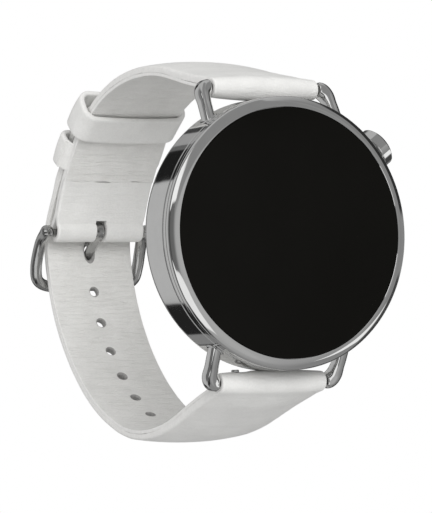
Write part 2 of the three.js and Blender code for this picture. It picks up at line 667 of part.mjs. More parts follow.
function longStrap() {
  const { roll, bore, slot } = lugRoll(LOWER_BAR, LOWER_LEVER);
  const root = band(stretch(longPath, 0, longPath[1].s), OUT_OF_LONG, longHalf, fullFaces(longThick));
  const leather = band(stretch(longPath, 0, LONG_LENGTH), OUT_OF_LONG, longHalf,
    leatherFaces(longThick), 0.3, longCrown);
  return cut(join(leather, root, roll), bore, slot, ...punches);
}

function shortLining() {
  return band(stretch(shortPath, shortPath[1].s + LINING_END_GAP, FLAP_START - LINING_END_GAP), OUT_OF_SHORT,
    (s) => shortHalf(s) - 0.05, liningFaces(shortThick), 0.2);
}

function longLining() {
  const strip = band(stretch(longPath, longPath[1].s + LINING_END_GAP, LONG_LENGTH - 0.3), OUT_OF_LONG,
    (s) => longHalf(s + 0.3) - 0.05, liningFaces(longThick), 0.2);
  return cut(strip, ...punches);
}

add(watch, 'short_strap', shortStrap(), LEATHER);
add(watch, 'short_strap_lining', shortLining(), LINING);
add(watch, 'long_strap', longStrap(), LEATHER);
add(watch, 'long_strap_lining', longLining(), LINING);

// A keeper is a leather loop round both straps: an outer body less its opening.
const FREE_KEEPER_AT = 46.7;
const FREE_KEEPER_HALF = 3.0;
const KEEPER_INNER_HALF = SHORT_STRAP_HALF + 0.35;
const KEEPER_WALL = 0.9;
const KEEPER_TOP = LAYER_PITCH + LONG_STRAP_THICK / 2 + 0.3;

function keeper(at, halfLength, [low, lowWall], innerBevel) {
  const body = band(stretch(shortPath, at - halfLength, at + halfLength), OUT_OF_SHORT,
    () => KEEPER_INNER_HALF + KEEPER_WALL, () => [low, KEEPER_TOP + KEEPER_WALL], 1.3);
  const opening = band(stretch(shortPath, at - halfLength - 2, at + halfLength + 2), OUT_OF_SHORT,
    () => KEEPER_INNER_HALF, () => [low + lowWall, KEEPER_TOP], innerBevel);
  return cut(body, opening);
}
const fixedLeg = [-KEEPER_LEG / 2, KEEPER_LEG];
const freeLeg = [-SHORT_STRAP_THICK / 2 - 0.3 - KEEPER_WALL, KEEPER_WALL];
add(watch, 'fixed_keeper', keeper(FIXED_KEEPER_AT, FIXED_KEEPER_HALF, fixedLeg, 0.1), LEATHER);
add(watch, 'free_keeper', keeper(FREE_KEEPER_AT, FREE_KEEPER_HALF, freeLeg, 0.5), LEATHER);

// ---------------------------------------------------------------- buckle
const ARM_X = 9.75;
const EYE_RADIUS = 1.3;
// The arm's line in the side view, from the bar's axis to the crossbar, and the crossbar.
const ARM_LINE = [[0, 0], [1.9, -1.3], [3.1, -3.4], [4.1, -5.9]];
const CROSSBAR = [5.0, -9.0];
const fromBuckleBar = (x, [y, z]) => new THREE.Vector3(x, BUCKLE_BAR.x + y, BUCKLE_BAR.y + z);

function buckleFrame() {
  const leftArm = ARM_LINE.map((place) => fromBuckleBar(-ARM_X, place));
  const leftCorner = [fromBuckleBar(-ARM_X + 0.45, [4.7, -8.0]), fromBuckleBar(-ARM_X + 2.1, CROSSBAR)];
  const left = [...leftArm, ...leftCorner];
  const right = left.map(({ x, y, z }) => new THREE.Vector3(-x, y, z)).reverse();
  const places = [...left, fromBuckleBar(0, CROSSBAR), ...right];
  const spine = new THREE.CatmullRomCurve3(places, false, 'centripetal');
  const bow = swept(spine, 34, 10, () => [0.95, 1.0]);
  const eyes = [-1, 1].map((side) => rod(EYE_RADIUS, Math.min(side * 8.75, side * 10.75),
    Math.max(side * 8.75, side * 10.75), BUCKLE_BAR));
  const bore = rod(BUCKLE_BAR_RADIUS + 0.15, -ARM_X - 0.2, ARM_X + 0.2, BUCKLE_BAR);
  return cut(join(bow, ...eyes), bore);
}

// The tongue's side view: an eye on the bar and a shank that runs out through the strap's
// hole and down over the crossbar.
const TONGUE_LINE = [[0.1, -1.05], [1.6, -2.1], [3.4, -3.5], [4.95, -5.2], [6.1, -7.2], [6.95, -9.9]];
function buckleTongue() {
  const places = TONGUE_LINE.map((place) => fromBuckleBar(0, place));
  const spine = new THREE.CatmullRomCurve3(places, false, 'centripetal');
  const shank = swept(spine, 12, 10, (t) => [TONGUE_HALF_WIDTH, lerp(0.52, 0.36, t)]);
  const eye = rod(1.5, -TONGUE_HALF_WIDTH, TONGUE_HALF_WIDTH, BUCKLE_BAR);
  const bore = rod(BUCKLE_BAR_RADIUS + 0.15, -3, 3, BUCKLE_BAR);
  return cut(join(shank, eye), bore);
}

add(watch, 'buckle_bar', rod(BUCKLE_BAR_RADIUS, -ARM_X - 0.05, ARM_X + 0.05, BUCKLE_BAR), DULL_STEEL);
add(watch, 'buckle_frame', buckleFrame(), STEEL);
add(watch, 'buckle_tongue', buckleTongue(), STEEL);

export default watch;
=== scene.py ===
"""The looks of a round smartwatch on a pale leather strap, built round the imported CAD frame.

Sizes below are in millimetres in the CAD frame and become metres as each mesh is made.
Y runs from the display (negative) through the case back (0) to the far side of the loop.
"""

import json
import math

import bpy
import numpy as np
from mathutils import Matrix, Vector


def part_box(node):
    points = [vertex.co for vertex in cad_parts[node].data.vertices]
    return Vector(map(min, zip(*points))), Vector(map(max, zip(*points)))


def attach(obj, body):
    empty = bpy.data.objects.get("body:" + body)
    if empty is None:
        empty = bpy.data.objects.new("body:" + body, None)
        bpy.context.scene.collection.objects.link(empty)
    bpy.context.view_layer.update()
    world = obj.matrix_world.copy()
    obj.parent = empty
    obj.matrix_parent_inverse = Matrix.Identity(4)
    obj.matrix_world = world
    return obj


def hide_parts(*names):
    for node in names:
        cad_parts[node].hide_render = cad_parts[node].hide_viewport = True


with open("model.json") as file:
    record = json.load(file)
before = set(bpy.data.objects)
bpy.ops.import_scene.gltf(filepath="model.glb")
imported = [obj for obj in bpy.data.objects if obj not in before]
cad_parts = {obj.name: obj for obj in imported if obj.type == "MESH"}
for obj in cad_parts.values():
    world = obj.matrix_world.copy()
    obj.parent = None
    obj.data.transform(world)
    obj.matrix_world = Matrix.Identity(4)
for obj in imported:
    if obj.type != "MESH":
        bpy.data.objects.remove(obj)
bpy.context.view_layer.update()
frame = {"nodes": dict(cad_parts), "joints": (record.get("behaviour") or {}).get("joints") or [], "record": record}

MM = 0.001
BRUSH_LINES = 9000.0


# ------------------------------------------------------------------ sizes, as in the CAD
def node_box(node):
    """A CAD node's lowest and highest corners, in millimetres."""
    return tuple(np.array(corner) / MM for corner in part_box(node))


def joint_place(name):
    joint = next(j for j in frame["joints"] if j["name"] == name)
    return np.array(joint["pos_m"]) / MM


CASE_RADIUS = node_box("mid_case")[1][0]
FRONT_Y = node_box("bezel")[0][1]
SEAM_Y = node_box("mid_case")[0][1]
BAR_Y, BAR_Z = joint_place("strap_swing")[1:]
UPPER_BAR = np.array([BAR_Y, BAR_Z])
LOWER_BAR = np.array([BAR_Y, -BAR_Z])
BUCKLE_BAR = joint_place("buckle_tilt")[1:]
CROWN_AXIS = np.array(next(j for j in frame["joints"] if j["name"] == "crown_spin")["axis"])
CROWN_Y = joint_place("crown_spin")[1]
CROWN_TURN = np.array(Vector((0, 1, 0)).rotation_difference(Vector(CROWN_AXIS)).to_matrix())

GLASS_RADIUS = 19.3
CASE_BORE = 17.2
ROLL_RADIUS = 1.55
ROLL_PROUD = 0.06
STRAP_HALF_AT_LUG = 9.3
SHORT_STRAP_HALF = 8.4
LONG_STRAP_HALF = 8.0
THICK_AT_LUG = 1.8
SHORT_THICK = 1.6
LONG_THICK = 1.5
LINING_THICK = 0.56
LAYER_PITCH = 2.25
TAIL_SPREAD = 0.45
LUG_FACE = 9.75
HOLE_RADIUS = 0.82
HOLE_PITCH = 6.0
HOLE_COUNT = 8
HOLE_ROW_DROP = 4.67
SLOT_END_DROP = 4.8
LEATHER_SLOT_DROP = 2.3
LINING_SLOT_DROP = 1.84

SHORT_HEADING = 9.6
SHORT_ARCS = [(14, 4.8), (12.6, -16.7), (11.1, -15.3), (13.2, -28.3), (12.8, -17.9), (4.5, -11.5)]
LONG_HEADING = -15.3
LONG_ARCS = [(15.3, -5.4), (12, 16.6), (12.9, 25.4), (12.1, 19.5), (11.3, 17.1), (11, 18.9)]
TAIL_JOIN = 61
TAIL_TIP = 42.5
TIP_LENGTH = 9
FLAP_START = 59.0
FREE_KEEPER_AT = 46.7
FIXED_KEEPER_AT = 54.55
KEEPER_BOW = 0.45
NOTCH_HALF = 0.98


# ------------------------------------------------------------------ lines in the side view
def unit(angle):
    return np.array([math.cos(angle), math.sin(angle)])


def turned_left(v):
    return np.stack([-v[..., 1], v[..., 0]], -1)


def distances(points):
    """How far along a line each of its points lies."""
    steps = np.linalg.norm(np.diff(points, axis=0), axis=1)
    return np.concatenate([[0], np.cumsum(steps)])


def rise(s, start, over):
    """0 before a start, growing evenly to 1 over a distance."""
    return np.clip((s - start) / over, 0, 1)


class Path:
    """A line in the side view (Y, Z), measured by the distance along it."""

    def __init__(self, points, **along):
        self.points = np.asarray(points, float)
        self.s = distances(self.points)
        self.way = np.gradient(self.points, self.s, axis=0)
        self.along = {key: np.asarray(values, float) for key, values in along.items()}
        self.length = self.s[-1]

    def _read(self, s, values):
        values = np.asarray(values)
        if values.ndim == 1:
            return np.interp(s, self.s, values)
        return np.stack([np.interp(s, self.s, values[:, k]) for k in range(values.shape[1])], -1)

    def place(self, s):
        inside = np.clip(s, 0, self.length)
        extra = (np.asarray(s) - inside)[..., None]
        return self._read(inside, self.points) + extra * self.heading(inside)

    def heading(self, s):
        way = self._read(s, self.way)
        return way / np.linalg.norm(way, axis=-1, keepdims=True)

    def get(self, key, s):
        return self._read(s, self.along[key])

    def offset(self, s, out):
        """Points a distance out to the left of the path, or to its right where out is negative."""
        out = np.broadcast_to(out, np.shape(s))
        return self.place(s) + turned_left(self.heading(s)) * out[..., None]


def arc_chain(start, heading, arcs, step=0.3):
    points = [np.asarray(start, float)]
    angle = math.radians(heading)
    for length, turn in arcs:
        count = math.ceil(length / step)
        bend = math.radians(turn) / count
        for _ in range(count):
            points.append(points[-1] + length / count * unit(angle + bend / 2))
            angle += bend
    return points


def strap_start(bar, heading, side):
    out = turned_left(unit(math.radians(heading))) * side
    return bar + out * (ROLL_RADIUS - ROLL_PROUD - THICK_AT_LUG / 2)


def bezier(p0, p1, p2, p3, count):
    t = np.linspace(0, 1, count + 1)[1:-1, None]
    return (1 - t) ** 3 * p0 + 3 * (1 - t) ** 2 * t * p1 + 3 * (1 - t) * t**2 * p2 + t**3 * p3


short_path = Path(arc_chain(strap_start(UPPER_BAR, SHORT_HEADING, 1), SHORT_HEADING, SHORT_ARCS))


def make_long_path():
    """Free from the lug to the buckle, a bulge past the buckle's roll, then the tail."""
    free = Path(arc_chain(strap_start(LOWER_BAR, LONG_HEADING, -1), LONG_HEADING, LONG_ARCS))
    tail_s = np.arange(TAIL_JOIN, TAIL_TIP - 0.01, -0.3)
    spread = TAIL_SPREAD * rise(tail_s, FIXED_KEEPER_AT + 2.5, 3.8)
    tail = short_path.offset(tail_s, LAYER_PITCH + spread)
    start, start_way = free.place(free.length), free.heading(free.length)
    end, end_way = tail[0], -short_path.heading(TAIL_JOIN)
    bulge = bezier(start, start + 8.5 * start_way, end - 8 * end_way, end, 60)
    return Path(np.concatenate([free.points, bulge, tail]))


long_path = make_long_path()


def taper(s, over, start, end):
    return start + (end - start) * rise(s, 0, over)


def short_half(s):
    narrowed = 0.25 * rise(s, short_path.length - 3, 3)
    return taper(s, 42, STRAP_HALF_AT_LUG, SHORT_STRAP_HALF) - narrowed


def long_half(s):
    run = rise(s, long_path.length - TIP_LENGTH, TIP_LENGTH)
    return taper(s, 40, STRAP_HALF_AT_LUG, LONG_STRAP_HALF) * np.sqrt(np.maximum(1 - run**2.2, 0.0004))


def short_thick(s):
    return taper(s, 20, THICK_AT_LUG, SHORT_THICK)


def long_thick(s):
    """The tail is fuller where it passes the buckle."""
    fuller = 0.4 * np.exp(-(((s - long_path.length + 18.5) / 2.4) ** 2))
    return taper(s, 20, THICK_AT_LUG, LONG_THICK) + fuller


def swell(s, start, end, height, fade=9):
    """Padding that rises over the first 6 mm and fades before its end."""
    return height * rise(s, start, 6) * rise(end - s, 0, fade)


# ------------------------------------------------------------------ meshes
def put(name, data):
    """A new object in the scene."""
    made = bpy.data.objects.new(name, data)
    bpy.context.scene.collection.objects.link(made)
    return made


def make_piece(name, skinned, body=None, slot=None, nodes=(), sharp=38, looks=None):
    """A mesh object from a skin in millimetres. It takes its slot's look, or the looks given."""
    vertices, faces, uv, part = skinned
    mesh = bpy.data.meshes.new(name)
    mesh.from_pydata((vertices * MM).tolist(), [], faces)
    if slot:
        for look in looks or [SLOT_LOOKS[slot]]:
            mesh.materials.append(look)
    mesh.polygons.foreach_set("material_index", np.asarray(part, np.int32))
    layer = mesh.uv_layers.new(name="UVMap")
    layer.data.foreach_set("uv", np.asarray(uv, np.float32).ravel())
    mesh.validate()
    piece = put(name, mesh)
    face_out(mesh)
    shade(mesh, sharp)
    if body:
        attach(piece, body)
        if nodes:
            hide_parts(*nodes)
    return piece


def face_out(mesh):
    """Turns the faces outwards if the closed mesh has a negative volume."""
    count = len(mesh.vertices)
    co = np.zeros(count * 3)
    mesh.vertices.foreach_get("co", co)
    co = co.reshape(-1, 3)
    mesh.calc_loop_triangles()
    tri = np.zeros(len(mesh.loop_triangles) * 3, np.int64)
    mesh.loop_triangles.foreach_get("vertices", tri)
    a, b, c = co[tri.reshape(-1, 3)].transpose(1, 0, 2)
    if np.einsum("ij,ij->i", a, np.cross(b, c)).sum() < 0:
        mesh.flip_normals()


def shade(mesh, sharp):
    mesh.polygons.foreach_set("use_smooth", np.ones(len(mesh.polygons), bool))
    mesh.set_sharp_from_angle(angle=math.radians(sharp))
    mesh.update()


def skin(rings, along_closed=False, part=None):
    """Points, faces, UVs and face parts of a skin over closed rings: (rings, points, 3)."""
    rings = np.asarray(rings, float)
    rows, count = rings.shape[:2]
    part = [0] * count if part is None else part
    across = np.linalg.norm(np.diff(rings, axis=1, append=rings[:, :1]), axis=2)
    u = np.concatenate([[0], np.cumsum(np.median(across, axis=0))])
    along = np.linalg.norm(np.diff(rings, axis=0, append=rings[:1]), axis=2)
    v = np.concatenate([[0], np.cumsum(np.median(along, axis=1))])
    faces, uv, parts = [], [], []
    for i in range(rows if along_closed else rows - 1):
        below = ((i + 1) % rows) * count
        for j in range(count):
            k = (j + 1) % count
            faces.append((i * count + j, i * count + k, below + k, below + j))
            uv += [(u[j], v[i]), (u[j + 1], v[i]), (u[j + 1], v[i + 1]), (u[j], v[i + 1])]
            parts.append(part[j])
    if not along_closed:
        for row, order in ((0, -1), (rows - 1, 1)):
            faces.append(tuple(row * count + j for j in range(count)[::order]))
            uv += [(u[j], v[row]) for j in range(count)]
            parts.append(max(part))
    return rings.reshape(-1, 3), faces, uv, parts


AXES = {"X": [1, 0, 2], "Y": [0, 1, 2], "Z": [0, 2, 1]}


def lathe(profile, sides, centre=(0, 0, 0), axis="Y"):
    """Rings of a turned body. A profile holds (radius, distance along the axis) points."""
    angles = np.arange(sides) * 2 * math.pi / sides
    rings = np.array([
        np.stack([radius * np.cos(angles), np.full(sides, along), radius * np.sin(angles)], -1)
        for radius, along in profile
    ])
    if axis == "CROWN":
        return rings @ CROWN_TURN.T + np.array([0, CROWN_Y, 0])
    return rings[..., AXES[axis]] + np.asarray(centre)


def arc(centre_r, centre_a, radius, start, end, steps=8):
    angles = np.radians(np.linspace(start, end, steps + 1))
    return [(centre_r + radius * math.cos(a), centre_a + radius * math.sin(a)) for a in angles]


def turned(name, profile, sides, body, slot, nodes, hollow=False, sharp=38, looks=None, **place):
    """A turned piece. A solid one starts and ends on its axis, a hollow one closes on itself."""
    rings = lathe(profile, sides, **place)
    rings = rings if hollow else rings[1:-1]
    return make_piece(name, skin(rings, hollow), body, slot, nodes, sharp, looks)


def combine(piece, others, operation, sharp):
    """Cuts other bodies out of a piece, or joins them to it, and removes them."""
    for other in others:
        tool = piece.modifiers.new("combine", "BOOLEAN")
        tool.operation = operation
        tool.solver = "EXACT"
        tool.material_mode = "INDEX"
        tool.object = other
    bpy.context.view_layer.update()
    graph = bpy.context.evaluated_depsgraph_get()
    result = bpy.data.meshes.new_from_object(piece.evaluated_get(graph))
    piece.modifiers.clear()
    old = piece.data
    piece.data = result
    result.name = piece.name
    bpy.data.meshes.remove(old)
    for other in others:
        bpy.data.objects.remove(other)
    shade(result, sharp)


def carve(piece, cutters, sharp=38, look=-1):
    """Cuts the cutters' shapes out of a piece. The cut faces take one of its materials."""
    cut_look = range(len(piece.data.materials))[look]
    for cutter in cutters:
        for polygon in cutter.data.polygons:
            polygon.material_index = cut_look
    combine(piece, cutters, "DIFFERENCE", sharp)


def tool_piece(rings, along_closed=False):
    return make_piece("tool", skin(rings, along_closed))


def spline(points, count):
    """A smooth curve through points, as count + 1 evenly spaced places."""
    points = np.asarray(points, float)
    ends = [2 * points[0] - points[1], *points, 2 * points[-1] - points[-2]]
    knots = np.concatenate([[0], np.cumsum(np.linalg.norm(np.diff(ends, axis=0), axis=1) ** 0.5)])
    out = []
    for i in range(1, len(ends) - 2):
        t0, t1, t2, t3 = knots[i - 1:i + 3]
        t = np.linspace(t1, t2, 24, endpoint=i == len(ends) - 3)[:, None]
        a1 = (t1 - t) / (t1 - t0) * ends[i - 1] + (t - t0) / (t1 - t0) * ends[i]
        a2 = (t2 - t) / (t2 - t1) * ends[i] + (t - t1) / (t2 - t1) * ends[i + 1]
        a3 = (t3 - t) / (t3 - t2) * ends[i + 1] + (t - t2) / (t3 - t2) * ends[i + 2]
        b1 = (t2 - t) / (t2 - t0) * a1 + (t - t0) / (t2 - t0) * a2
        b2 = (t3 - t) / (t3 - t1) * a2 + (t - t1) / (t3 - t1) * a3
        out.append((t2 - t) / (t2 - t1) * b1 + (t - t1) / (t2 - t1) * b2)
    line = np.concatenate(out)
    length = distances(line)
    even = np.linspace(0, length[-1], count + 1)
    return np.stack([np.interp(even, length, line[:, k]) for k in range(line.shape[1])], -1)


def rounded(sides, power, start=0.5):
    """Cosines and sines round a section that is squarer than an ellipse."""
    angles = (np.arange(sides) + start) * 2 * math.pi / sides
    return (np.sign(f) * np.abs(f) ** power for f in (np.cos(angles), np.sin(angles)))


def swept(line, sides, size, power, wide_way=None):
    """Rings of a rounded section along a line. size(t) gives half width, half depth.

    The depth lies as near to Y as the line lets it, unless a way for the width is given.
    """
    way = np.gradient(line, axis=0)
    way /= np.linalg.norm(way, axis=1, keepdims=True)
    cos, sin = rounded(sides, power)
    rings = []
    for i, (point, along) in enumerate(zip(line, way)):
        if wide_way is None:
            down = np.array([0.0, 1.0, 0.0]) - along * along[1]
            down /= np.linalg.norm(down)
            aside = np.cross(along, down)
        else:
            aside, down = wide_way, np.cross(wide_way, along)
        half_wide, half_deep = size(i / (len(line) - 1))
        rings.append(point + half_wide * cos[:, None] * aside + half_deep * sin[:, None] * down)
    return np.array(rings)


def rounded_end(distance, radius):
    """How much a section shrinks near a rounded end, at a distance from it."""
    run = np.clip(distance / radius, 0, 1)
    return radius * (1 - math.sqrt(max(0.0, 1 - (1 - run) ** 2)))


# ------------------------------------------------------------------ materials
def fill(socket, value):
    """Gives a socket a value, or joins another node's output to it."""
    if isinstance(value, bpy.types.NodeSocket):
        socket.id_data.links.new(value, socket)
    else:
        socket.default_value = value


def set_up(made, settings):
    """Sets a node's properties, and its inputs where a setting's name starts with in_."""
    for key, value in settings.items():
        if key.startswith("in_"):
            fill(made.inputs[key[3:].replace("_", " ")], value)
        else:
            setattr(made, key, value)
    return made


def node(nodes, kind, **settings):
    return set_up(nodes.new(kind), settings)


def new_material(name, **settings):
    """A material with its nodes, its shader and the outputs that hold a point's place."""
    material = bpy.data.materials.new(name)
    material.use_nodes = True
    nodes = material.node_tree.nodes
    shader = set_up(nodes["Principled BSDF"], settings)
    return material, nodes, shader, node(nodes, "ShaderNodeTexCoord").outputs


def math_node(nodes, operation, *values):
    made = node(nodes, "ShaderNodeMath", operation=operation)
    for socket, value in zip(made.inputs, values):
        fill(socket, value)
    return made.outputs[0]


def ramp(nodes, factor, stops):
    """The colour, or the brightness, that a factor picks between stops."""
    made = node(nodes, "ShaderNodeValToRGB", in_Fac=factor)
    elements = made.color_ramp.elements
    while len(elements) < len(stops):
        elements.new(0.5)
    for element, (place, value) in zip(elements, stops):
        element.position = place
        element.color = (*value, 1) if hasattr(value, "__len__") else (value, value, value, 1)
    return made.outputs["Color"]


def noise(nodes, place, scale, detail, **more):
    return node(nodes, "ShaderNodeTexNoise", in_Vector=place, in_Scale=scale, in_Detail=detail,
                **more).outputs["Fac"]


def vary_gloss(nodes, shader, pattern, smooth, rough):
    spread = node(nodes, "ShaderNodeMapRange", in_Value=pattern, in_To_Min=smooth, in_To_Max=rough)
    fill(shader.inputs["Roughness"], spread.outputs["Result"])


def vary(nodes, shader, pattern, gloss, low, high):
    """Lets a pattern vary a shader's roughness and its colour, each between two values."""
    vary_gloss(nodes, shader, pattern, *gloss)
    fill(shader.inputs["Base Color"], ramp(nodes, pattern, [(0.3, low), (0.7, high)]))


def bump(nodes, height, strength, distance, **over):
    return node(nodes, "ShaderNodeBump", in_Height=height, in_Strength=strength,
                in_Distance=distance, **over).outputs["Normal"]


def steel_tone(value):
    """A grey that is a touch warm."""
    return (value, value, value - 0.005)


def polished_steel(name, dark, bright, smooth, smeared):
    """Polished metal with faint smears and the soft waviness of a hand-polished surface."""
    material, nodes, shader, place = new_material(name, in_Metallic=1.0)
    smears = noise(nodes, place["Object"], 260.0, 4.0, in_Roughness=0.6)
    vary(nodes, shader, smears, (smooth, smeared), steel_tone(dark), steel_tone(bright))
    waves = noise(nodes, place["Object"], 160.0, 1.0)
    fill(shader.inputs["Normal"], bump(nodes, waves, 0.05, 0.0002))
    return material


def satin_steel():
    """Circular satin brushing about the watch's own axis."""
    material, nodes, shader, place = new_material("satin_steel", in_Metallic=1.0)
    split = node(nodes, "ShaderNodeSeparateXYZ", in_Vector=place["Object"]).outputs
    flat = node(nodes, "ShaderNodeCombineXYZ", in_X=split["X"], in_Y=split["Z"])
    radius = node(nodes, "ShaderNodeVectorMath", operation="LENGTH")
    fill(radius.inputs[0], flat.outputs["Vector"])
    fine = math_node(nodes, "MULTIPLY", radius.outputs["Value"], BRUSH_LINES)
    stretch = node(nodes, "ShaderNodeCombineXYZ", in_X=fine, in_Y=split["X"])
    lines = noise(nodes, stretch.outputs["Vector"], 1.0, 6.0, noise_dimensions="2D", in_Roughness=0.75)
    vary(nodes, shader, lines, (0.22, 0.4), steel_tone(0.52), steel_tone(0.62))
    fill(shader.inputs["Normal"], bump(nodes, lines, 0.25, 0.00003))
    return material


def black_glass(name, low, high, specular):
    """Coated glass over a switched-off display: nearly black, with faint smears in its gloss."""
    material, nodes, shader, place = new_material(name, in_Specular_IOR_Level=specular)
    vary(nodes, shader, noise(nodes, place["Object"], 70.0, 3.0), (0.03, 0.09), low, high)
    return material


def leather(name, light, dark, smooth, rough, grain, wrinkle):
    """Smooth dyed leather: fine pebbled grain, pores, soft mottling and fine cross wrinkles.

    The UVs of the strap pieces are in millimetres, across the strap and along it.
    """
    material, nodes, shader, place = new_material(
        name, in_Specular_IOR_Level=0.35, in_Sheen_Weight=0.12, in_Sheen_Roughness=0.5)
    mottle = noise(nodes, place["Object"], 210.0, 5.0, in_Roughness=0.6)
    vary_gloss(nodes, shader, mottle, smooth, rough)
    cells = node(nodes, "ShaderNodeTexVoronoi", in_Vector=place["Object"], in_Scale=3200.0,
                 in_Randomness=1.0).outputs["Distance"]
    pores = noise(nodes, place["Object"], 5200.0, 2.0)
    crease = node(nodes, "ShaderNodeMix", data_type="RGBA", blend_type="MULTIPLY", in_Factor=0.12,
                  in_A=ramp(nodes, mottle, [(0.3, dark), (0.68, light)]),
                  in_B=ramp(nodes, cells, [(0.0, 1.0), (0.9, 0.55)]))
    fill(shader.inputs["Base Color"], crease.outputs["Result"])
    lie = node(nodes, "ShaderNodeMapping", in_Vector=place["UV"], in_Scale=(0.3, 1.5, 1.0))
    folds = noise(nodes, lie.outputs["Vector"], 1.0, 4.0, noise_dimensions="2D", in_Roughness=0.62,
                  in_Distortion=0.6)
    normal = bump(nodes, folds, wrinkle, 0.00022)
    normal = bump(nodes, cells, grain, 0.00005, in_Normal=normal)
    normal = bump(nodes, pores, grain * 0.6, 0.00003, in_Normal=normal)
    fill(shader.inputs["Normal"], normal)
    return material


def plain(name, low, high, smooth, rough, metallic=0.0, scale=900.0, strength=0.15):
    """A moulded, foil or wire finish for the inner pieces."""
    material, nodes, shader, place = new_material(name, in_Metallic=metallic)
    grain = noise(nodes, place["Object"], scale, 4.0)
    vary(nodes, shader, grain, (smooth, rough), low, high)
    fill(shader.inputs["Normal"], bump(nodes, grain, strength, 0.00004))
    return material


STEEL = polished_steel("polished_steel", 0.69, 0.735, 0.035, 0.075)
# A darker copy of the polished steel for the buckle and its tongue: its lower colour is painted shade, so they
# read as dark as shaded metal.
SHADED_BUCKLE_STEEL = polished_steel("buckle_steel_painted_shade", 0.4, 0.46, 0.14, 0.2)
SATIN = satin_steel()
GLASS = black_glass("cover_glass", (0.0024, 0.0022, 0.0016), (0.0032, 0.003, 0.0023), 0.115)
SENSOR = black_glass("sensor_glass", (0.006, 0.006, 0.007), (0.01, 0.01, 0.012), 0.5)
LEATHER = leather("strap_leather", (0.815, 0.812, 0.795), (0.75, 0.747, 0.73), 0.46, 0.6, 0.3, 0.5)
LINING = leather("lining_leather", (0.79, 0.785, 0.765), (0.71, 0.705, 0.685), 0.6, 0.75, 0.4, 1.0)
# Dark grey on the walls of the punched holes: partly the leather's cut core, partly painted shade that darkens the
# holes.
CUT_CORE_AND_HOLE_SHADE = plain("cut_core_and_hole_shade", (0.27, 0.265, 0.26), (0.38, 0.375, 0.365), 0.8, 0.9, scale=2500.0,
            strength=0.4)
EDGE = plain("edge_paint", (0.72, 0.715, 0.70), (0.78, 0.775, 0.76), 0.42, 0.55, scale=1500.0,
             strength=0.2)
SCREEN = plain("display", (0.004, 0.004, 0.004), (0.006, 0.006, 0.006), 0.25, 0.35)
PLASTIC = plain("inner_plastic", (0.02, 0.02, 0.023), (0.035, 0.035, 0.04), 0.5, 0.65)
RUBBER = plain("seal_rubber", (0.012, 0.012, 0.012), (0.02, 0.02, 0.02), 0.7, 0.85)
BOARD = plain("circuit_board", (0.008, 0.06, 0.03), (0.015, 0.1, 0.05), 0.3, 0.45)
FOIL = plain("battery_foil", (0.45, 0.47, 0.49), (0.55, 0.57, 0.59), 0.3, 0.45, metallic=0.6)
COPPER = plain("copper_wire", (0.5, 0.22, 0.1), (0.65, 0.33, 0.17), 0.25, 0.4, metallic=1.0)
SLOT_LOOKS = {
    "polished_steel": STEEL, "satin_steel": SATIN, "cover_glass": GLASS, "sensor_glass": SENSOR,
    "display": SCREEN, "inner_plastic": PLASTIC, "seal_rubber": RUBBER, "circuit_board": BOARD,
    "battery_foil": FOIL, "copper_wire": COPPER, "strap_leather": LEATHER, "lining_leather": LINING,
}


def dress_frame():
    """Gives every CAD node the look of its material slot."""
    for part in frame["record"]["subparts"]:
        mesh = frame["nodes"][part["node"]].data
        mesh.materials.clear()
        mesh.materials.append(SLOT_LOOKS[part["material_slot"]])


# ------------------------------------------------------------------ case
ROUND = 256
SCREW_CIRCLE = 15.6
SCREW_ANGLES = (25, 155, 205, 335)


def build_bezel():
    """A flat ring with a rolled outer edge, and a groove where it meets the case."""
    r, top = CASE_RADIUS, FRONT_Y
    edge = 0.5
    profile = [
        (GLASS_RADIUS + 0.03, top + 0.05), (GLASS_RADIUS + 0.08, top), (19.7, top + 0.02),
        (19.98, top + 0.075), (20.2, top + 0.16), (20.42, top + 0.27),
        *arc(r - edge, top + 0.4 + edge, edge, -62, 0, 12), (r, top + 1.3), (r - 0.04, top + 1.34),
        (r - 0.22, top + 1.38), (r - 0.22, top + 1.52), (r - 0.07, top + 1.56), (r - 0.04, top + 1.6),
        (r - 0.04, SEAM_Y - 0.12), (r - 0.12, SEAM_Y - 0.05), (18.45, SEAM_Y - 0.05),
        (18.45, top + 1.0), (GLASS_RADIUS + 0.03, top + 1.0),
    ]
    turned("bezel_ring", profile, ROUND, "case", "polished_steel", ["bezel"], hollow=True, sharp=16)


def lug_anchor(side, up):
    """Where a lug enters the case wall."""
    return np.array([side * 11.3, -6.2, up * 17.4])


def build_mid_case():
    r = CASE_RADIUS
    wall_end = SEAM_Y + 5.0
    profile = [
        (CASE_BORE, SEAM_Y + 0.42), (19.5, SEAM_Y + 0.42), (19.5, SEAM_Y + 0.02),
        (r - 0.16, SEAM_Y + 0.02), (r - 0.04, SEAM_Y + 0.06), (r, SEAM_Y + 0.18),
        (r, wall_end - 0.08), *arc(r - 2.0, wall_end, 2.0, 0, 72, 16),
        (18.6, wall_end + 1.98), (18.5, wall_end + 1.9), (18.5, -2.6), (CASE_BORE, -2.6),
    ]
    shell = turned("mid_case_shell", profile, ROUND, "case", "polished_steel", ["mid_case"],
                   hollow=True, sharp=15)
    cutters = [tool_piece(lathe([(1.6, 15), (1.6, 22)], 48, axis="CROWN"))]
    for side in (-1, 1):
        for up in (-1, 1):
            x, y, z = lug_anchor(side, up)
            socket = [(0.62, z - up * 1.4), (0.62, z + up * 3)]
            cutters.append(tool_piece(lathe(socket, 32, (x, y, 0), "Z")))
    carve(shell, cutters, sharp=15)


def build_glass():
    r = GLASS_RADIUS - 0.03
    profile = [(0, FRONT_Y + 0.85), (r, FRONT_Y + 0.85), (r, FRONT_Y + 0.16),
               *arc(r - 0.14, FRONT_Y + 0.16, 0.14, 0, -90, 6)[1:], (0, FRONT_Y + 0.02)]
    turned("cover_glass_disc", profile, ROUND, "case", "cover_glass", ["cover_glass"], sharp=60)


def screw_places():
    return [(SCREW_CIRCLE * math.sin(math.radians(a)), SCREW_CIRCLE * math.cos(math.radians(a)))
            for a in SCREW_ANGLES]


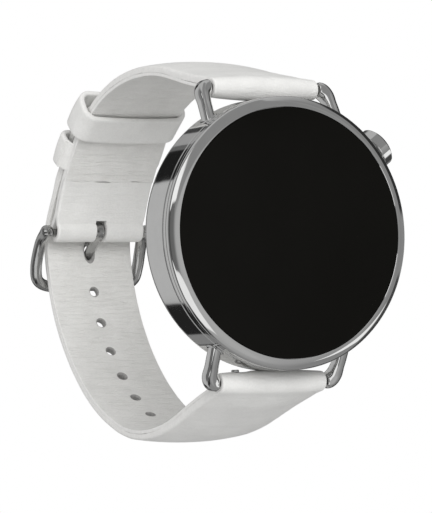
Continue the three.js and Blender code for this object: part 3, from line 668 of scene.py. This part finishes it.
def build_case_back():
    flat = 16.9
    profile = [(6.02, -0.04), (6.06, 0.0), (flat, 0.0), *arc(flat, -1.5, 1.5, 90, 15, 12)[1:],
               (18.36, -2.15), (18.3, -2.2), (17.3, -2.2), (17.3, -1.2), (6.02, -1.2)]
    back = turned("case_back_plate", profile, ROUND, "case", "satin_steel", ["case_back"],
                  hollow=True, sharp=30)
    well = [(0.66, -3), (0.66, -0.58), (1.12, -0.58), (1.12, -0.08), (1.24, 0.05), (1.24, 0.3)]
    carve(back, [tool_piece(lathe(well, 48, (x, 0, z))) for x, z in screw_places()], sharp=30)
    screw = [(0, -5), (0.46, -5), (0.5, -0.56), (0.96, -0.56), (0.96, -0.2), (0.86, -0.1), (0, -0.1)]
    for i, (x, z) in enumerate(screw_places()):
        head = turned(f"case_screw_{i + 1}", screw, 48, "case", "satin_steel",
                      [f"back_screw_{i + 1}"], centre=(x, 0, z))
        carve(head, [tool_piece(lathe([(0.42, -0.42), (0.42, 0.1)], 6, (x, 0, z)))])


def build_sensor():
    """The window over the sensors, with three small rings let into its face."""
    profile = [(0, -1.2), (5.94, -1.2), (5.94, -0.08), (5.86, 0.0), (0, 0.0)]
    window = turned("sensor_window_glass", profile, 128, "case", "sensor_glass", ["sensor_window"],
                    looks=[SENSOR, SCREEN])
    groove = [(0.95, -0.02), (1.02, 0.02), (1.1, 0.02), (1.17, -0.02)]
    carve(window, [tool_piece(lathe(groove, 40, (x, 0, z)), along_closed=True)
                   for x, z in [(0, 3.1), (2.7, -1.55), (-2.7, -1.55)]])


# ------------------------------------------------------------------ crown
def build_crown():
    r = 3.2
    end = 23.95
    base = 21.6
    knob = [
        (0, end), (1.2, end - 0.008), (2.1, end - 0.035), (2.6, end - 0.08), (2.72, end - 0.11),
        (r - 0.06, end - 0.42), (r, end - 0.52), (r, base + 0.34), (r - 0.06, base + 0.24),
        (r - 0.28, base + 0.03), (r - 0.36, base), (2.3, base), (2.3, end - 0.9), (0, end - 0.9),
    ]
    stem = [(0, 13.9), (0.6, 13.9), (0.6, 15.4), (0.35, 15.4), (0.35, 16.1), (0.6, 16.1),
            (0.6, end - 1.2), (0, end - 1.2)]
    tube = [(0.85, 16.6), (1.3, 16.6), (1.3, 22.05), (1.25, 22.1), (0.9, 22.1), (0.85, 22.05)]
    turned("crown_cap", knob, 144, "crown", "polished_steel", ["crown_knob"], sharp=20, axis="CROWN")
    turned("crown_shaft", stem, 32, "crown", "satin_steel", ["crown_stem"], sharp=20, axis="CROWN")
    turned("crown_sleeve", tube, 48, "case", "polished_steel", ["crown_tube"], hollow=True, sharp=20,
           axis="CROWN")


# ------------------------------------------------------------------ lugs and bars
def build_lug(name, side, up):
    bar = BAR_Z
    line = spline([
        (side * 11.4, -7.0, up * 16.2), (side * 11.36, -6.1, up * 18.2),
        (side * 11.25, -5.0, up * 20.3),
        (side * 11.0, -4.15, up * (bar - 0.95)), (side * 10.35, BAR_Y - 0.12, up * (bar - 0.12)),
        (side * LUG_FACE, BAR_Y, up * bar), (side * 9.3, BAR_Y, up * bar),
    ], 96)
    inward = np.abs(line[:, 0]) >= LUG_FACE - 1e-6
    line = np.concatenate([line[inward], [[side * LUG_FACE, BAR_Y, up * bar]]])
    length = distances(line)[-1]

    def size(t):
        grow = rise(t, 0.5, 0.4)
        grow = grow * grow * (3 - 2 * grow)
        shrink = rounded_end(length * (1 - t), 0.3)
        return 0.92 + 0.34 * grow - shrink, 1.12 + 0.15 * grow - shrink

    rings = swept(line, 56, size, power=0.72)
    arm = make_piece(f"{name}_arm", skin(rings), "case", "polished_steel", [name], 40, [STEEL, SATIN])
    case_room = tool_piece(lathe([(CASE_RADIUS + 0.02, -20), (CASE_RADIUS + 0.02, 8)], ROUND))
    pin = lathe([(0.55, 9.0), (0.55, 10.9)], 40, axis="X")
    pin_hole = tool_piece(pin * np.array([side, 1, 1]) + np.array([0, BAR_Y, up * bar]))
    carve(arm, [case_room, pin_hole], 40)


def build_lug_foot(name, side, up):
    """The low collar round a lug where it meets the case wall."""
    x, y = lug_anchor(side, up)[:2]
    cos, sin = rounded(64, 0.72, 0)
    rings = []
    collar = [(0.0, 0.16), (0.2, 0.14), (0.3, 0.0), (0.3, -0.12), (-0.05, -0.12), (-0.05, 0.1)]
    for grow, lift in collar:
        px = x + (0.86 + grow) * cos
        py = y - 0.05 + (1.2 + grow) * sin
        wall = np.sqrt((CASE_RADIUS + lift) ** 2 - px**2)
        rings.append(np.stack([px, py + 0.12 * (wall - 18.0), up * wall], -1))
    make_piece(f"{name}_foot", skin(rings, along_closed=True), "case", "polished_steel", sharp=40)


def build_lugs():
    for up_name, up in (("upper", 1), ("lower", -1)):
        for side_name, side in (("left", -1), ("right", 1)):
            build_lug(f"lug_{up_name}_{side_name}", side, up)
            build_lug_foot(f"lug_{up_name}_{side_name}", side, up)


LEVER_X = -6.3
RELEASE_TRAVEL = 1.3
UPPER_LEVER = -30
LOWER_LEVER = 90


def on_bar(rings, bar, lever):
    """Puts rings built along +Z from the origin onto a bar, turned to its lever's side."""
    turn = np.array(Matrix.Rotation(math.radians(lever - 90), 3, "X"))
    return rings @ turn.T + np.array([0, *bar])


def lever_slot(bar, lever, x0, x1, half_wide, reach):
    """A round-ended slot through one side of a bar or roll."""
    steps = np.linspace(0, math.pi, 13)
    left = [(x0 + half_wide - half_wide * math.sin(a), half_wide * math.cos(a)) for a in steps]
    right = [(x1 - half_wide + half_wide * math.sin(a), -half_wide * math.cos(a)) for a in steps]
    outline = np.array(left + right)
    rings = [np.column_stack([outline, np.full(len(outline), z)]) for z in (0.0, reach)]
    return tool_piece(on_bar(np.array(rings), bar, lever))


def build_bars():
    """Each spring bar: a slotted sleeve, a fixed plunger, and a pin with its release lever."""
    sleeve = [(0.48, -8.4), (0.66, -8.4), (0.7, -8.34), (0.7, 8.34), (0.66, 8.4), (0.48, 8.4)]
    knob = [(0.28, 0.1), (0.28, 1.58), (0.5, 1.58), (0.6, 1.66), (0.62, 1.78), (0.6, 1.92), (0.5, 2.04)]
    pin_end = LEVER_X + 0.7
    for name, bar, tip, lever in (("upper", UPPER_BAR, LUG_FACE + 1.0, UPPER_LEVER),
                                  ("lower", LOWER_BAR, LUG_FACE - 0.15, LOWER_LEVER)):
        place = {"centre": (0, *bar), "axis": "X"}
        tube = turned(f"{name}_bar_sleeve", sleeve, 40, "strap_loop", "satin_steel",
                      [f"{name}_bar_tube"], hollow=True, **place)
        carve(tube, [lever_slot(bar, lever, LEVER_X - 0.45, LEVER_X + RELEASE_TRAVEL + 0.45, 0.4, 2)])
        plunger = [(0, -1.5), (0.4, -1.5), (0.4, tip - 0.1), (0.3, tip), (0, tip)]
        turned(f"{name}_bar_plunger", plunger, 32, "strap_loop", "satin_steel", [f"{name}_bar_pin"],
               **place)
        pin = [(0, -tip), (0.3, -tip), (0.4, -tip + 0.1), (0.4, pin_end), (0, pin_end)]
        release = turned(f"{name}_release_lever", pin, 32, f"{name}_release", "satin_steel",
                         [f"{name}_release_pin"], **place)
        knob_rings = on_bar(lathe(knob, 40, (LEVER_X, 0, 0), "Z"), bar, lever)
        combine(release, [tool_piece(knob_rings)], "UNION", 38)


# ------------------------------------------------------------------ leather
ACROSS = 30
CORNER = 6


def strip_section(half, thick, outer_round, inner_round, crown):
    """Points (x, n) round a strip's section, outer side up."""
    ro = min(outer_round, thick * 0.5, half * 0.4)
    ri = min(inner_round, thick * 0.42, half * 0.4)
    x = np.linspace(-(half - ro), half - ro, ACROSS + 1)
    top = np.column_stack([x, thick / 2 + crown * (1 - np.abs(x / half) ** 2.2)])
    corner_angles = np.linspace(math.pi / 2, 0, CORNER + 1)[1:]
    edge_top = thick / 2 - ro + crown * (1 - ((half - ro) / half) ** 2.2)
    top_right = np.column_stack([half - ro + ro * np.cos(corner_angles),
                                 edge_top + ro * np.sin(corner_angles)])
    low_right = np.column_stack([half - ri + ri * np.cos(corner_angles[::-1]),
                                 -thick / 2 + ri - ri * np.sin(corner_angles[::-1])])
    low_x = np.linspace(half - ri, -(half - ri), ACROSS + 1)
    low = np.column_stack([low_x, np.full(ACROSS + 1, -thick / 2)])
    low_left = low_right[::-1] * [-1, 1]
    top_left = top_right[::-1] * [-1, 1]
    return np.concatenate([top, top_right, low_right, low, low_left, top_left])


def strip_parts(across, corner):
    """Edge paint on the sides, leather above, below and on the first bit of each corner."""
    side = [0] * 2 + [1] * (2 * corner - 3) + [0] * 2
    return [0] * across + side + [0] * across + side


def strip_rings(path, stations, side, half, thick, rounds, crown, ripple):
    """Rings of a leather strip along a path, with one half width, thickness and crown a station."""
    place = path.place(stations)
    out = turned_left(path.heading(stations)) * side
    rings = []
    for i, s in enumerate(stations):
        section = strip_section(half[i], thick[i], *rounds, crown[i])
        n = section[:, 1] + ripple(s, section[:, 0])
        rings.append(np.column_stack([section[:, 0], place[i] + n[:, None] * out[i]]))
    return np.array(rings)


def make_ripple(depth, seed):
    """Slow undulation and fine cross wrinkles, as a depth at a distance along and across."""
    draws = np.random.default_rng(seed)

    def waves(count, lowest, highest, slant):
        return [(draws.uniform(lowest, highest), draws.uniform(-slant, slant), draws.uniform(0, 6.3))
                for _ in range(count)]

    wrinkles, slow = waves(9, 0.5, 2.4, 0.12), waves(4, 0.12, 0.4, 0.1)

    def ripple(s, x):
        fine = sum(np.sin(ks * s + kx * x + p) / (ks + 1) for ks, kx, p in wrinkles)
        broad = sum(np.sin(ks * s + kx * x + p) for ks, kx, p in slow)
        return depth * (0.35 * fine + 0.4 * broad)

    return ripple


SHEET = 0.75
LAYER_GAP = 0.02
# The leather starts with a flap and a turn round the bar, a small part of its whole length.
SHORT_ROLL_PART = 0.03
LONG_ROLL_PART = 0.02
BUCKLE_ROLL_LENGTH = 14.5
# Above the buckle's bar the roll runs on a little and then drops to the flap in a sharp crease.
# These are distances from the bar, along the strap and out of it.
CREASE = [(-0.45, -1.42), (-0.85, -1.36), (-1.12, -1.12), (-1.25, -0.86), (-1.55, -0.74)]


def wrap_arc(bar, along, out, radius, start, end):
    """Points round a bar, at angles from along towards out, in degrees."""
    angles = np.radians(np.arange(start, end - 1e-6, -6.0))
    return [bar + radius * (math.cos(a) * along + math.sin(a) * out) for a in angles]


def layer_at(s, total):
    """The outer layer's thickness: a plain sheet round the bar, thicker over the flap, then full."""
    full = total(s) - LINING_THICK - LAYER_GAP
    over_flap = SHEET + (THICK_AT_LUG - 2 * SHEET - LAYER_GAP) * rise(s, 0, 1.4)
    return over_flap + (full - over_flap) * rise(s, 2.7, 0.6)


def sheet_line(path, side, bar, s_in, s_out, total, flap_gap=0.0, end_wrap=None):
    """The middle line of a leather sheet: a flap, the turn round the lug's bar, then the strap.

    total(s) is the strap's whole thickness, with the flap on its inner side and the sheet on its
    outer. end_wrap describes a second turn, round the buckle's bar, and the flap behind it.
    """
    points, source = [], []

    def run(stations, out):
        points.extend(path.offset(stations, side * out))
        source.extend(stations)

    def flap(stations):
        run(stations, -total(stations) / 2 + SHEET / 2 - flap_gap)

    def wrap(at, centre, radius, start, end, then=()):
        along, out = path.heading(at), turned_left(path.heading(at)) * side
        turn = wrap_arc(centre, along, out, radius, start, end)
        turn += [centre + a * along + n * out for a, n in then]
        points.extend(turn)
        source.extend([at] * len(turn))

    flap(np.arange(s_in, 2.6, -0.3))
    wrap(0.0, bar, ROLL_RADIUS - SHEET / 2, -67, -272)
    strap = np.arange(1.6, s_out, 0.4)
    run(strap, total(strap) / 2 - layer_at(strap, total) / 2)
    if end_wrap:
        centre, radius, s_back, s_end = end_wrap
        wrap(path.length, centre, radius, 108, -92, CREASE)
        flap(np.append(np.arange(s_back, s_end + 0.1, -0.4), s_end))
    raw = Path(points)
    line = spline(points, int(len(points) * 1.6))
    stations = np.linspace(0, raw.length, len(line))
    return Path(line, source=np.interp(stations, raw.s, source))


def waved_end(rings, way):
    """Shifts the last rings along the strap a little, so that a cut edge wanders."""
    for i, weight in enumerate(np.linspace(0.2, 1, 5)):
        ring = rings[i - 5]
        shift = 0.13 * np.sin(0.9 * ring[:, 0] + 0.6) + 0.07 * np.sin(2.3 * ring[:, 0])
        ring[:, 1:] += weight * shift[:, None] * way


def strip_piece(name, slot, node_name, rings, look, wavy):
    """A leather strip with painted edges. A wavy one has its last edge cut by hand."""
    if wavy:
        waved_end(rings, short_path.heading(FLAP_START))
    skinned = skin(rings, part=strip_parts(ACROSS, CORNER))
    return make_piece(name, skinned, "strap_loop", slot, [node_name], 45, [look, EDGE, CUT_CORE_AND_HOLE_SHADE])


def sheet_piece(name, node_name, line, side, half, total, lifts, outer, seed):
    """The outer leather layer, full and swollen between the outer distances, a sheet elsewhere."""
    stations = np.append(np.arange(0, line.length - 0.2, 0.42), line.length)
    source = line.get("source", stations)
    full = (stations > outer[0]) & (stations < outer[1])
    thick = np.where(full, layer_at(source, total), SHEET)
    crown = np.where(full, sum(swell(source, *lift) for lift in lifts), 0.0)
    rings = strip_rings(line, stations, side, half(source), thick, (0.42, 0.05), crown,
                        make_ripple(0.022, seed))
    return strip_piece(name, "strap_leather", node_name, rings, LEATHER, side > 0)


def lever_gap(bar, lever):
    """The opening in a strap's roll that a release lever slides along."""
    return lever_slot(bar, lever, LEVER_X - 0.65, LEVER_X + RELEASE_TRAVEL + 1.4, 0.72, 3)


def build_short_strap():
    """Leather from the upper bar to the buckle's bar, round it, and back as a flap."""
    wrap_radius = 1.8 - SHEET / 2
    line = sheet_line(short_path, 1, UPPER_BAR, 3.0, short_path.length - 2.6, short_thick, 0.02,
                      (BUCKLE_BAR, wrap_radius, short_path.length - 1.7, FLAP_START))
    outer = (line.length * SHORT_ROLL_PART, line.length - BUCKLE_ROLL_LENGTH)
    strap = sheet_piece("short_strap_leather", "short_strap", line, 1, short_half, short_thick,
                        [(-3, 42, 0.85)], outer, 3)
    notch = box_tool((-NOTCH_HALF, NOTCH_HALF), (BUCKLE_BAR[0] - 2.3, BUCKLE_BAR[0] + 3),
                     (BUCKLE_BAR[1] - 3.2, BUCKLE_BAR[1] + 1.7))
    carve(strap, [lever_gap(UPPER_BAR, UPPER_LEVER), notch], 45, 1)


def box_tool(x, y, z):
    corners = [(x[0], y[0]), (x[1], y[0]), (x[1], y[1]), (x[0], y[1])]
    rings = [[(a, b, c) for a, b in corners] for c in z]
    return tool_piece(np.array(rings, float))


def below_buckle(drop):
    """How far along the long strap a place lies that is a drop below the buckle's bar."""
    s = np.linspace(60, long_path.length, 4000)
    return s[np.argmax(long_path.place(s)[:, 1] > BUCKLE_BAR[1] - drop)]


def hole_tools(slot_drop):
    """Punches for the strap's holes, flared a little at both faces as leather is.

    The used hole is drawn out into a slot, which starts a drop below the buckle's bar.
    """
    made = []
    for i in range(HOLE_COUNT):
        used = i == 1
        middle = (slot_drop + SLOT_END_DROP) / 2
        at = below_buckle(middle) if used else below_buckle(HOLE_ROW_DROP) + (1 - i) * HOLE_PITCH
        along, place = long_path.heading(at), long_path.place(at)
        out = turned_left(along)
        half_thick = LONG_THICK / 2
        bore = HOLE_RADIUS
        far = bore if used else bore - 0.16
        profile = [(bore + 0.5, -2.5), (bore + 0.3, -half_thick - 0.02),
                   (bore + 0.12, -half_thick + 0.1), (bore, -half_thick + 0.34), (far, half_thick - 0.3),
                   (far + 0.12, half_thick - 0.1), (far + 0.32, half_thick + 0.04), (far + 0.6, 2.5)]
        ring = lathe(profile, 48)
        stretched = (SLOT_END_DROP - slot_drop) / 2 / HOLE_RADIUS if used else 1.0
        x, n, a = ring[..., 0], ring[..., 1], ring[..., 2] * stretched
        side_view = place + n[..., None] * out + a[..., None] * along
        made.append(tool_piece(np.concatenate([x[..., None], side_view], -1)))
    return made


def build_long_strap():
    """Leather from the lower bar, past the buckle and through both keepers to its tip."""
    line = sheet_line(long_path, -1, LOWER_BAR, 2.8, long_path.length, long_thick)
    strap = sheet_piece("long_strap_leather", "long_strap", line, -1, long_half, long_thick,
                        [(-3, 62, 0.45), (-1, 34, 0.7, 20)],
                        (line.length * LONG_ROLL_PART, math.inf), 5)
    carve(strap, [lever_gap(LOWER_BAR, LOWER_LEVER)], 45, 1)
    # The hole walls take the strip's last look, the dark cut core with painted shade.
    carve(strap, hole_tools(LEATHER_SLOT_DROP), 45)


def lining_piece(name, path, side, s0, s1, half, total, node_name, seed):
    stations = np.append(np.arange(s0, s1, 0.42), s1)
    line = Path(path.offset(stations, side * (-total(stations) / 2 + LINING_THICK / 2)))
    rings = strip_rings(line, line.s, -side, half(stations) - 0.03,
                        np.full(len(stations), LINING_THICK), (0.12, 0.03), np.zeros(len(stations)),
                        make_ripple(0.02, seed))
    return strip_piece(name, "lining_leather", node_name, rings, LINING, side > 0)


def build_linings():
    lining_piece("short_strap_lining_strip", short_path, 1, 3.1, FLAP_START - 0.03, short_half,
                 short_thick, "short_strap_lining", 11)
    strip = lining_piece("long_strap_lining_strip", long_path, -1, 2.9, long_path.length - 0.25,
                         lambda s: long_half(s + 0.25), long_thick, "long_strap_lining", 13)
    # The hole walls take the lining's last look, the dark cut core with painted shade.
    carve(strip, hole_tools(LINING_SLOT_DROP), 45)


def keeper_outline(inner_half, low, high, corner, count):
    """A rounded rectangle (x, n) with evenly spaced points and the directions out of it."""
    straight = [2 * (inner_half - corner), high - low - 2 * corner]
    points, normals = [], []
    centres = [(inner_half - corner, high - corner, 0), (-inner_half + corner, high - corner, 90),
               (-inner_half + corner, low + corner, 180), (inner_half - corner, low + corner, 270)]
    for k, (cx, cn, start) in enumerate(centres):
        for a in np.radians(np.linspace(start, start + 90, 13)):
            normals.append((math.cos(a), math.sin(a)))
            points.append((cx + corner * math.cos(a), cn + corner * math.sin(a)))
        length = straight[k % 2]
        steps = max(2, int(count * length))
        a = math.radians(start + 90)
        across = np.array([-math.sin(a), math.cos(a)])
        last = np.array(points[-1])
        for step in range(1, steps):
            normals.append((math.cos(a), math.sin(a)))
            points.append(tuple(last + across * length * step / steps))
    return np.array(points), np.array(normals)


def build_keeper(name, node_name, body, at, half_length, low, inner_wall, corner):
    """A strip of leather bent into a loop round both straps. Its wall thins where it is sewn in."""
    inner_half = SHORT_STRAP_HALF + 0.35
    high = LAYER_PITCH + LONG_THICK / 2 + 0.3
    wall = 0.9
    points, normals = keeper_outline(inner_half, low, high, corner, 2.2)
    across = 14
    edge = 5
    rings = []
    for (x, n), (nx, nn) in zip(points, normals):
        inner_side = nn < -0.5 or n < low + corner * 0.9
        here = inner_wall if inner_side else wall
        r = min(0.34, here * 0.46)
        t = np.linspace(-(half_length - r), half_length - r, across + 1)
        quarter = np.linspace(math.pi / 2, 0, edge + 1)[1:]
        cos, sin = r * np.cos(quarter), r * np.sin(quarter)
        domed = here + 0.1 * (1 - (t / half_length) ** 2) * (here > 0.6)
        end = half_length - r
        section = np.concatenate([
            np.column_stack([t, domed]),
            np.column_stack([end + cos, here - r + sin]),
            np.column_stack([end + cos[::-1], r - sin[::-1]]),
            np.column_stack([t[::-1], np.zeros(across + 1)]),
            np.column_stack([-end - cos, r - sin]),
            np.column_stack([-end - cos[::-1], here - r + sin[::-1]]),
        ])
        s = at + section[:, 0] + KEEPER_BOW * (1 - (x / inner_half) ** 2)
        local_x = x + nx * section[:, 1]
        local_n = n + nn * section[:, 1]
        side_view = short_path.offset(s, local_n)
        rings.append(np.column_stack([local_x, side_view]))
    rings = np.array(rings)
    skinned = skin(rings, along_closed=True, part=strip_parts(across, edge))
    make_piece(name, skinned, body, "strap_leather", [node_name], 50, [LEATHER, EDGE])


def build_keepers():
    build_keeper("free_keeper_loop", "free_keeper", "keeper", FREE_KEEPER_AT, 3.0,
                 -SHORT_THICK / 2 - 0.3, 0.9, 1.5)
    build_keeper("fixed_keeper_loop", "fixed_keeper", "strap_loop", FIXED_KEEPER_AT, 2.65,
                 0.19, 0.36, 0.9)


# ------------------------------------------------------------------ buckle
ARM_X = 9.75
EYE_X = 9.45


def from_buckle_bar(x, place):
    return (x, BUCKLE_BAR[0] + place[0], BUCKLE_BAR[1] + place[1])


def build_buckle():
    arm = [(-0.75, 0.5), (0, 0), (1.9, -1.3), (3.1, -3.4), (4.1, -5.9)]
    aside = [EYE_X, EYE_X, EYE_X + 0.15, ARM_X, ARM_X]
    left = [from_buckle_bar(-x, p) for x, p in zip(aside, arm)]
    left += [from_buckle_bar(-ARM_X + 0.5, (4.72, -8.0)), from_buckle_bar(-ARM_X + 2.2, (5.0, -9.0))]
    right = [(-x, y, z) for x, y, z in left][::-1]
    line = spline([*left, from_buckle_bar(0, (5.0, -9.0)), *right], 260)
    length = distances(line)[-1]

    def size(t):
        from_end = min(t, 1 - t) * length
        shrink = rounded_end(from_end, 0.95)
        eye = 0.18 * math.exp(-((from_end - 0.9) / 1.1) ** 2)
        return 0.95 + eye - shrink, 1.0 + eye - shrink

    rings = swept(line, 40, size, power=0.9)
    # The frame takes the darker buckle steel, whose colour is painted shade.
    bow = make_piece("buckle_bow", skin(rings), "buckle", "polished_steel", ["buckle_frame"], 40,
                     [SHADED_BUCKLE_STEEL, SATIN])
    bore = lathe([(0.62, -ARM_X - 0.2), (0.62, ARM_X + 0.2)], 40, (0, *BUCKLE_BAR), axis="X")
    carve(bow, [tool_piece(bore)], 40)
    axle = [(0, -9.8), (0.44, -9.8), (0.5, -9.74), (0.5, 9.74), (0.44, 9.8), (0, 9.8)]
    turned("buckle_axle", axle, 40, "buckle", "satin_steel", ["buckle_bar"],
           centre=(0, *BUCKLE_BAR), axis="X")


def build_tongue():
    ring_radius = 1.08
    around = [ring_radius * unit(math.radians(a)) for a in range(-12, 271, 12)]
    shank = [(0.75, -1.38), (1.6, -2.0), (3.4, -3.45), (4.95, -5.2), (6.1, -7.2), (6.95, -9.9)]
    line = spline([from_buckle_bar(0, p) for p in [*around[:-1], *shank]], 200)
    length = distances(line)[-1]

    def size(t):
        shrink = rounded_end((1 - t) * length, 0.6)
        start = rounded_end(t * length, 0.3)
        slim = rise(t, 0.8, 0.2)
        wide, deep = 0.8 - 0.16 * slim - shrink, 0.42 - 0.07 * slim - shrink * 0.6
        return max(wide - start, 0.06), max(deep - start, 0.04)

    rings = swept(line, 40, size, 0.62, wide_way=np.array([1.0, 0.0, 0.0]))
    # The tongue takes the darker buckle steel, whose colour is painted shade.
    make_piece("buckle_tongue_strip", skin(rings), "tongue", "polished_steel", ["buckle_tongue"], 40,
               [SHADED_BUCKLE_STEEL])


# ------------------------------------------------------------------ studio
def area_light(name, azimuth, elevation, distance, size, power):
    az, el = math.radians(azimuth), math.radians(elevation)
    way = Vector((math.sin(az) * math.cos(el), math.cos(az) * math.cos(el), math.sin(el)))
    light = bpy.data.lights.new(name, "AREA")
    light.shape = "SQUARE"
    light.size = size
    light.energy = power
    made = put(name, light)
    facing = way.to_track_quat("Z", "Y").to_matrix().to_4x4()
    made.matrix_world = Matrix.Translation(way * distance) @ facing
    made.visible_glossy = False
    made.visible_camera = False


# Tent brightness by azimuth, at eye level: what polished surfaces see, and what lights the rest.
GLOSS_ROUND = [
    (-180, 0.5), (-166, 0.45), (-153, 0.18), (-119, 0.07), (-95, 0.12), (-68, 0.24), (-45, 0.5),
    (-28, 0.56), (-19, 0.56), (-12, 0.3), (0, 0.12), (14, 0.1), (22, 0.2), (31, 0.06), (44, 0.07),
    (52, 0.25), (66, 0.28), (105, 0.3), (130, 0.28), (142, 0.36), (150, 0.43), (160, 0.52), (180, 0.5),
]
LIGHT_ROUND = [(-180, 0.8), (-120, 0.92), (-60, 0.8), (0, 0.5), (60, 0.36), (110, 0.42), (150, 0.66),
               (180, 0.84)]
# Soft-edged panels and flags of the tent: azimuth, elevation, half width, half height, brightness.
PANELS = [
    (-136, 30, 32, 14, 1.15), (-140, -27, 34, 13, 1.05), (-64, 22, 14, 18, 0.26),
    (-62, -22, 12, 16, 0.14),
    (-11, 27, 7.5, 6.5, 0.015), (3.5, 29, 4, 5.5, 0.38), (14, 27, 6, 7, 0.06),
    (-8, -28, 8.5, 5.5, 0.02), (4, -30, 3.5, 6, 0.26), (12, -28, 4, 7, 0.06), (24, 24, 4, 10, 0.3),
    (24, -24, 6, 12, 0.28), (67, 28, 40, 21, 0.035), (66, -30, 37, 23, 0.07), (57, 1, 13, 4.5, 0.9),
    (123, -20, 15, 7, 1.1), (172, 48, 31, 37, 0.3), (-95, -58, 48, 9, 0.03),
]
PANEL_SEAM = 60


def round_ramp(nodes, turn, stops):
    return ramp(nodes, turn, [((azimuth + 180) / 360, value) for azimuth, value in stops])


def soft_window(nodes, value, centre, half, softness):
    """1 within half of a centre, falling smoothly to 0 over the softness beyond it."""
    away = math_node(nodes, "ABSOLUTE", math_node(nodes, "SUBTRACT", value, centre))
    return node(nodes, "ShaderNodeMapRange", interpolation_type="SMOOTHSTEP", in_Value=away,
                in_From_Min=half, in_From_Max=half + softness, in_To_Min=1.0,
                in_To_Max=0.0).outputs["Result"]


def mixed(nodes, factor, first, second):
    return node(nodes, "ShaderNodeMix", data_type="FLOAT", in_Factor=factor, in_A=first,
                in_B=second).outputs["Result"]


def build_tent(nodes, azimuth, elevation):
    """The tent's brightness as polished surfaces see it, and as it lights all the others."""
    turn = math_node(nodes, "MULTIPLY_ADD", azimuth, 1 / 360, 0.5)
    from_seam = math_node(nodes, "MODULO", math_node(nodes, "ADD", azimuth, 720 - PANEL_SEAM), 360)
    gloss = round_ramp(nodes, turn, GLOSS_ROUND)
    for pole, brightness in ((90, 0.55), (-90, 0.3)):
        gloss = mixed(nodes, soft_window(nodes, elevation, pole, 30, 20), gloss, brightness)
    for panel_azimuth, panel_elevation, half_width, half_height, brightness in PANELS:
        wide = soft_window(nodes, from_seam, (panel_azimuth - PANEL_SEAM) % 360,
                           half_width * 0.94, half_width * 0.12)
        high = soft_window(nodes, elevation, panel_elevation, half_height * 0.94, half_height * 0.12)
        gloss = mixed(nodes, math_node(nodes, "MULTIPLY", wide, high), gloss, brightness)
    light = round_ramp(nodes, turn, LIGHT_ROUND)
    return gloss, mixed(nodes, soft_window(nodes, elevation, 90, 20, 50), light, 0.66)


def build_world():
    """White behind the watch. Polished surfaces see a tent with panels and flags."""
    world = bpy.data.worlds.new("tent")
    bpy.context.scene.world = world
    world.use_nodes = True
    nodes = world.node_tree.nodes
    nodes.clear()
    place = node(nodes, "ShaderNodeTexCoord").outputs["Generated"]
    x, y, z = node(nodes, "ShaderNodeSeparateXYZ", in_Vector=place).outputs
    azimuth = math_node(nodes, "DEGREES", math_node(nodes, "ARCTAN2", x, y))
    elevation = math_node(nodes, "DEGREES", math_node(nodes, "ARCSINE", z))
    gloss, light = build_tent(nodes, azimuth, elevation)
    ray = node(nodes, "ShaderNodeLightPath").outputs
    tent = mixed(nodes, ray["Is Glossy Ray"], light, gloss)
    soft = node(nodes, "ShaderNodeBackground", in_Color=tent)
    white = node(nodes, "ShaderNodeBackground", in_Color=(1, 1, 1, 1))
    pick = node(nodes, "ShaderNodeMixShader", in_Fac=ray["Is Camera Ray"])
    for socket, background in zip(pick.inputs[1:], (soft, white)):
        fill(socket, background.outputs["Background"])
    node(nodes, "ShaderNodeOutputWorld", in_Surface=pick.outputs["Shader"])


def build_floor():
    """A plain pale disc well below the watch."""
    angles = np.arange(96) * 2 * math.pi / 96
    rim = [(1.1 * math.cos(a), 1.1 * math.sin(a), -0.13) for a in angles]
    mesh = bpy.data.meshes.new("floor")
    mesh.from_pydata(rim, [], [tuple(range(96))])
    mesh.materials.append(new_material("floor", in_Base_Color=(0.8, 0.8, 0.8, 1), in_Roughness=0.9)[0])
    floor = put("floor", mesh)
    floor.visible_glossy = False


def build_studio():
    build_world()
    build_floor()
    area_light("key", azimuth=-158, elevation=19, distance=0.8, size=0.4, power=3.5)


def build_camera():
    """A view from the left of the display and slightly below, with a long lens."""
    camera = bpy.data.cameras.new("camera")
    camera.lens = 218.8
    camera.sensor_width = 36.0
    camera.clip_start = 0.05
    camera.clip_end = 20.0
    made = put("camera", camera)
    place = Vector((-242.83, -419.74, -23.29)) * MM
    target = Vector((-7.11, 0.0, -3.09)) * MM
    roll = math.radians(-1.566)
    facing = (target - place).to_track_quat("-Z", "Y").to_matrix().to_4x4()
    made.matrix_world = Matrix.Translation(place) @ facing @ Matrix.Rotation(roll, 4, "Z")
    bpy.context.scene.camera = made


build_camera()
dress_frame()
build_bezel()
build_mid_case()
build_glass()
build_case_back()
build_sensor()
build_crown()
build_lugs()
build_bars()
build_short_strap()
build_long_strap()
build_linings()
build_keepers()
build_buckle()
build_tongue()
build_studio()
bpy.context.scene.view_settings.view_transform = "Standard"
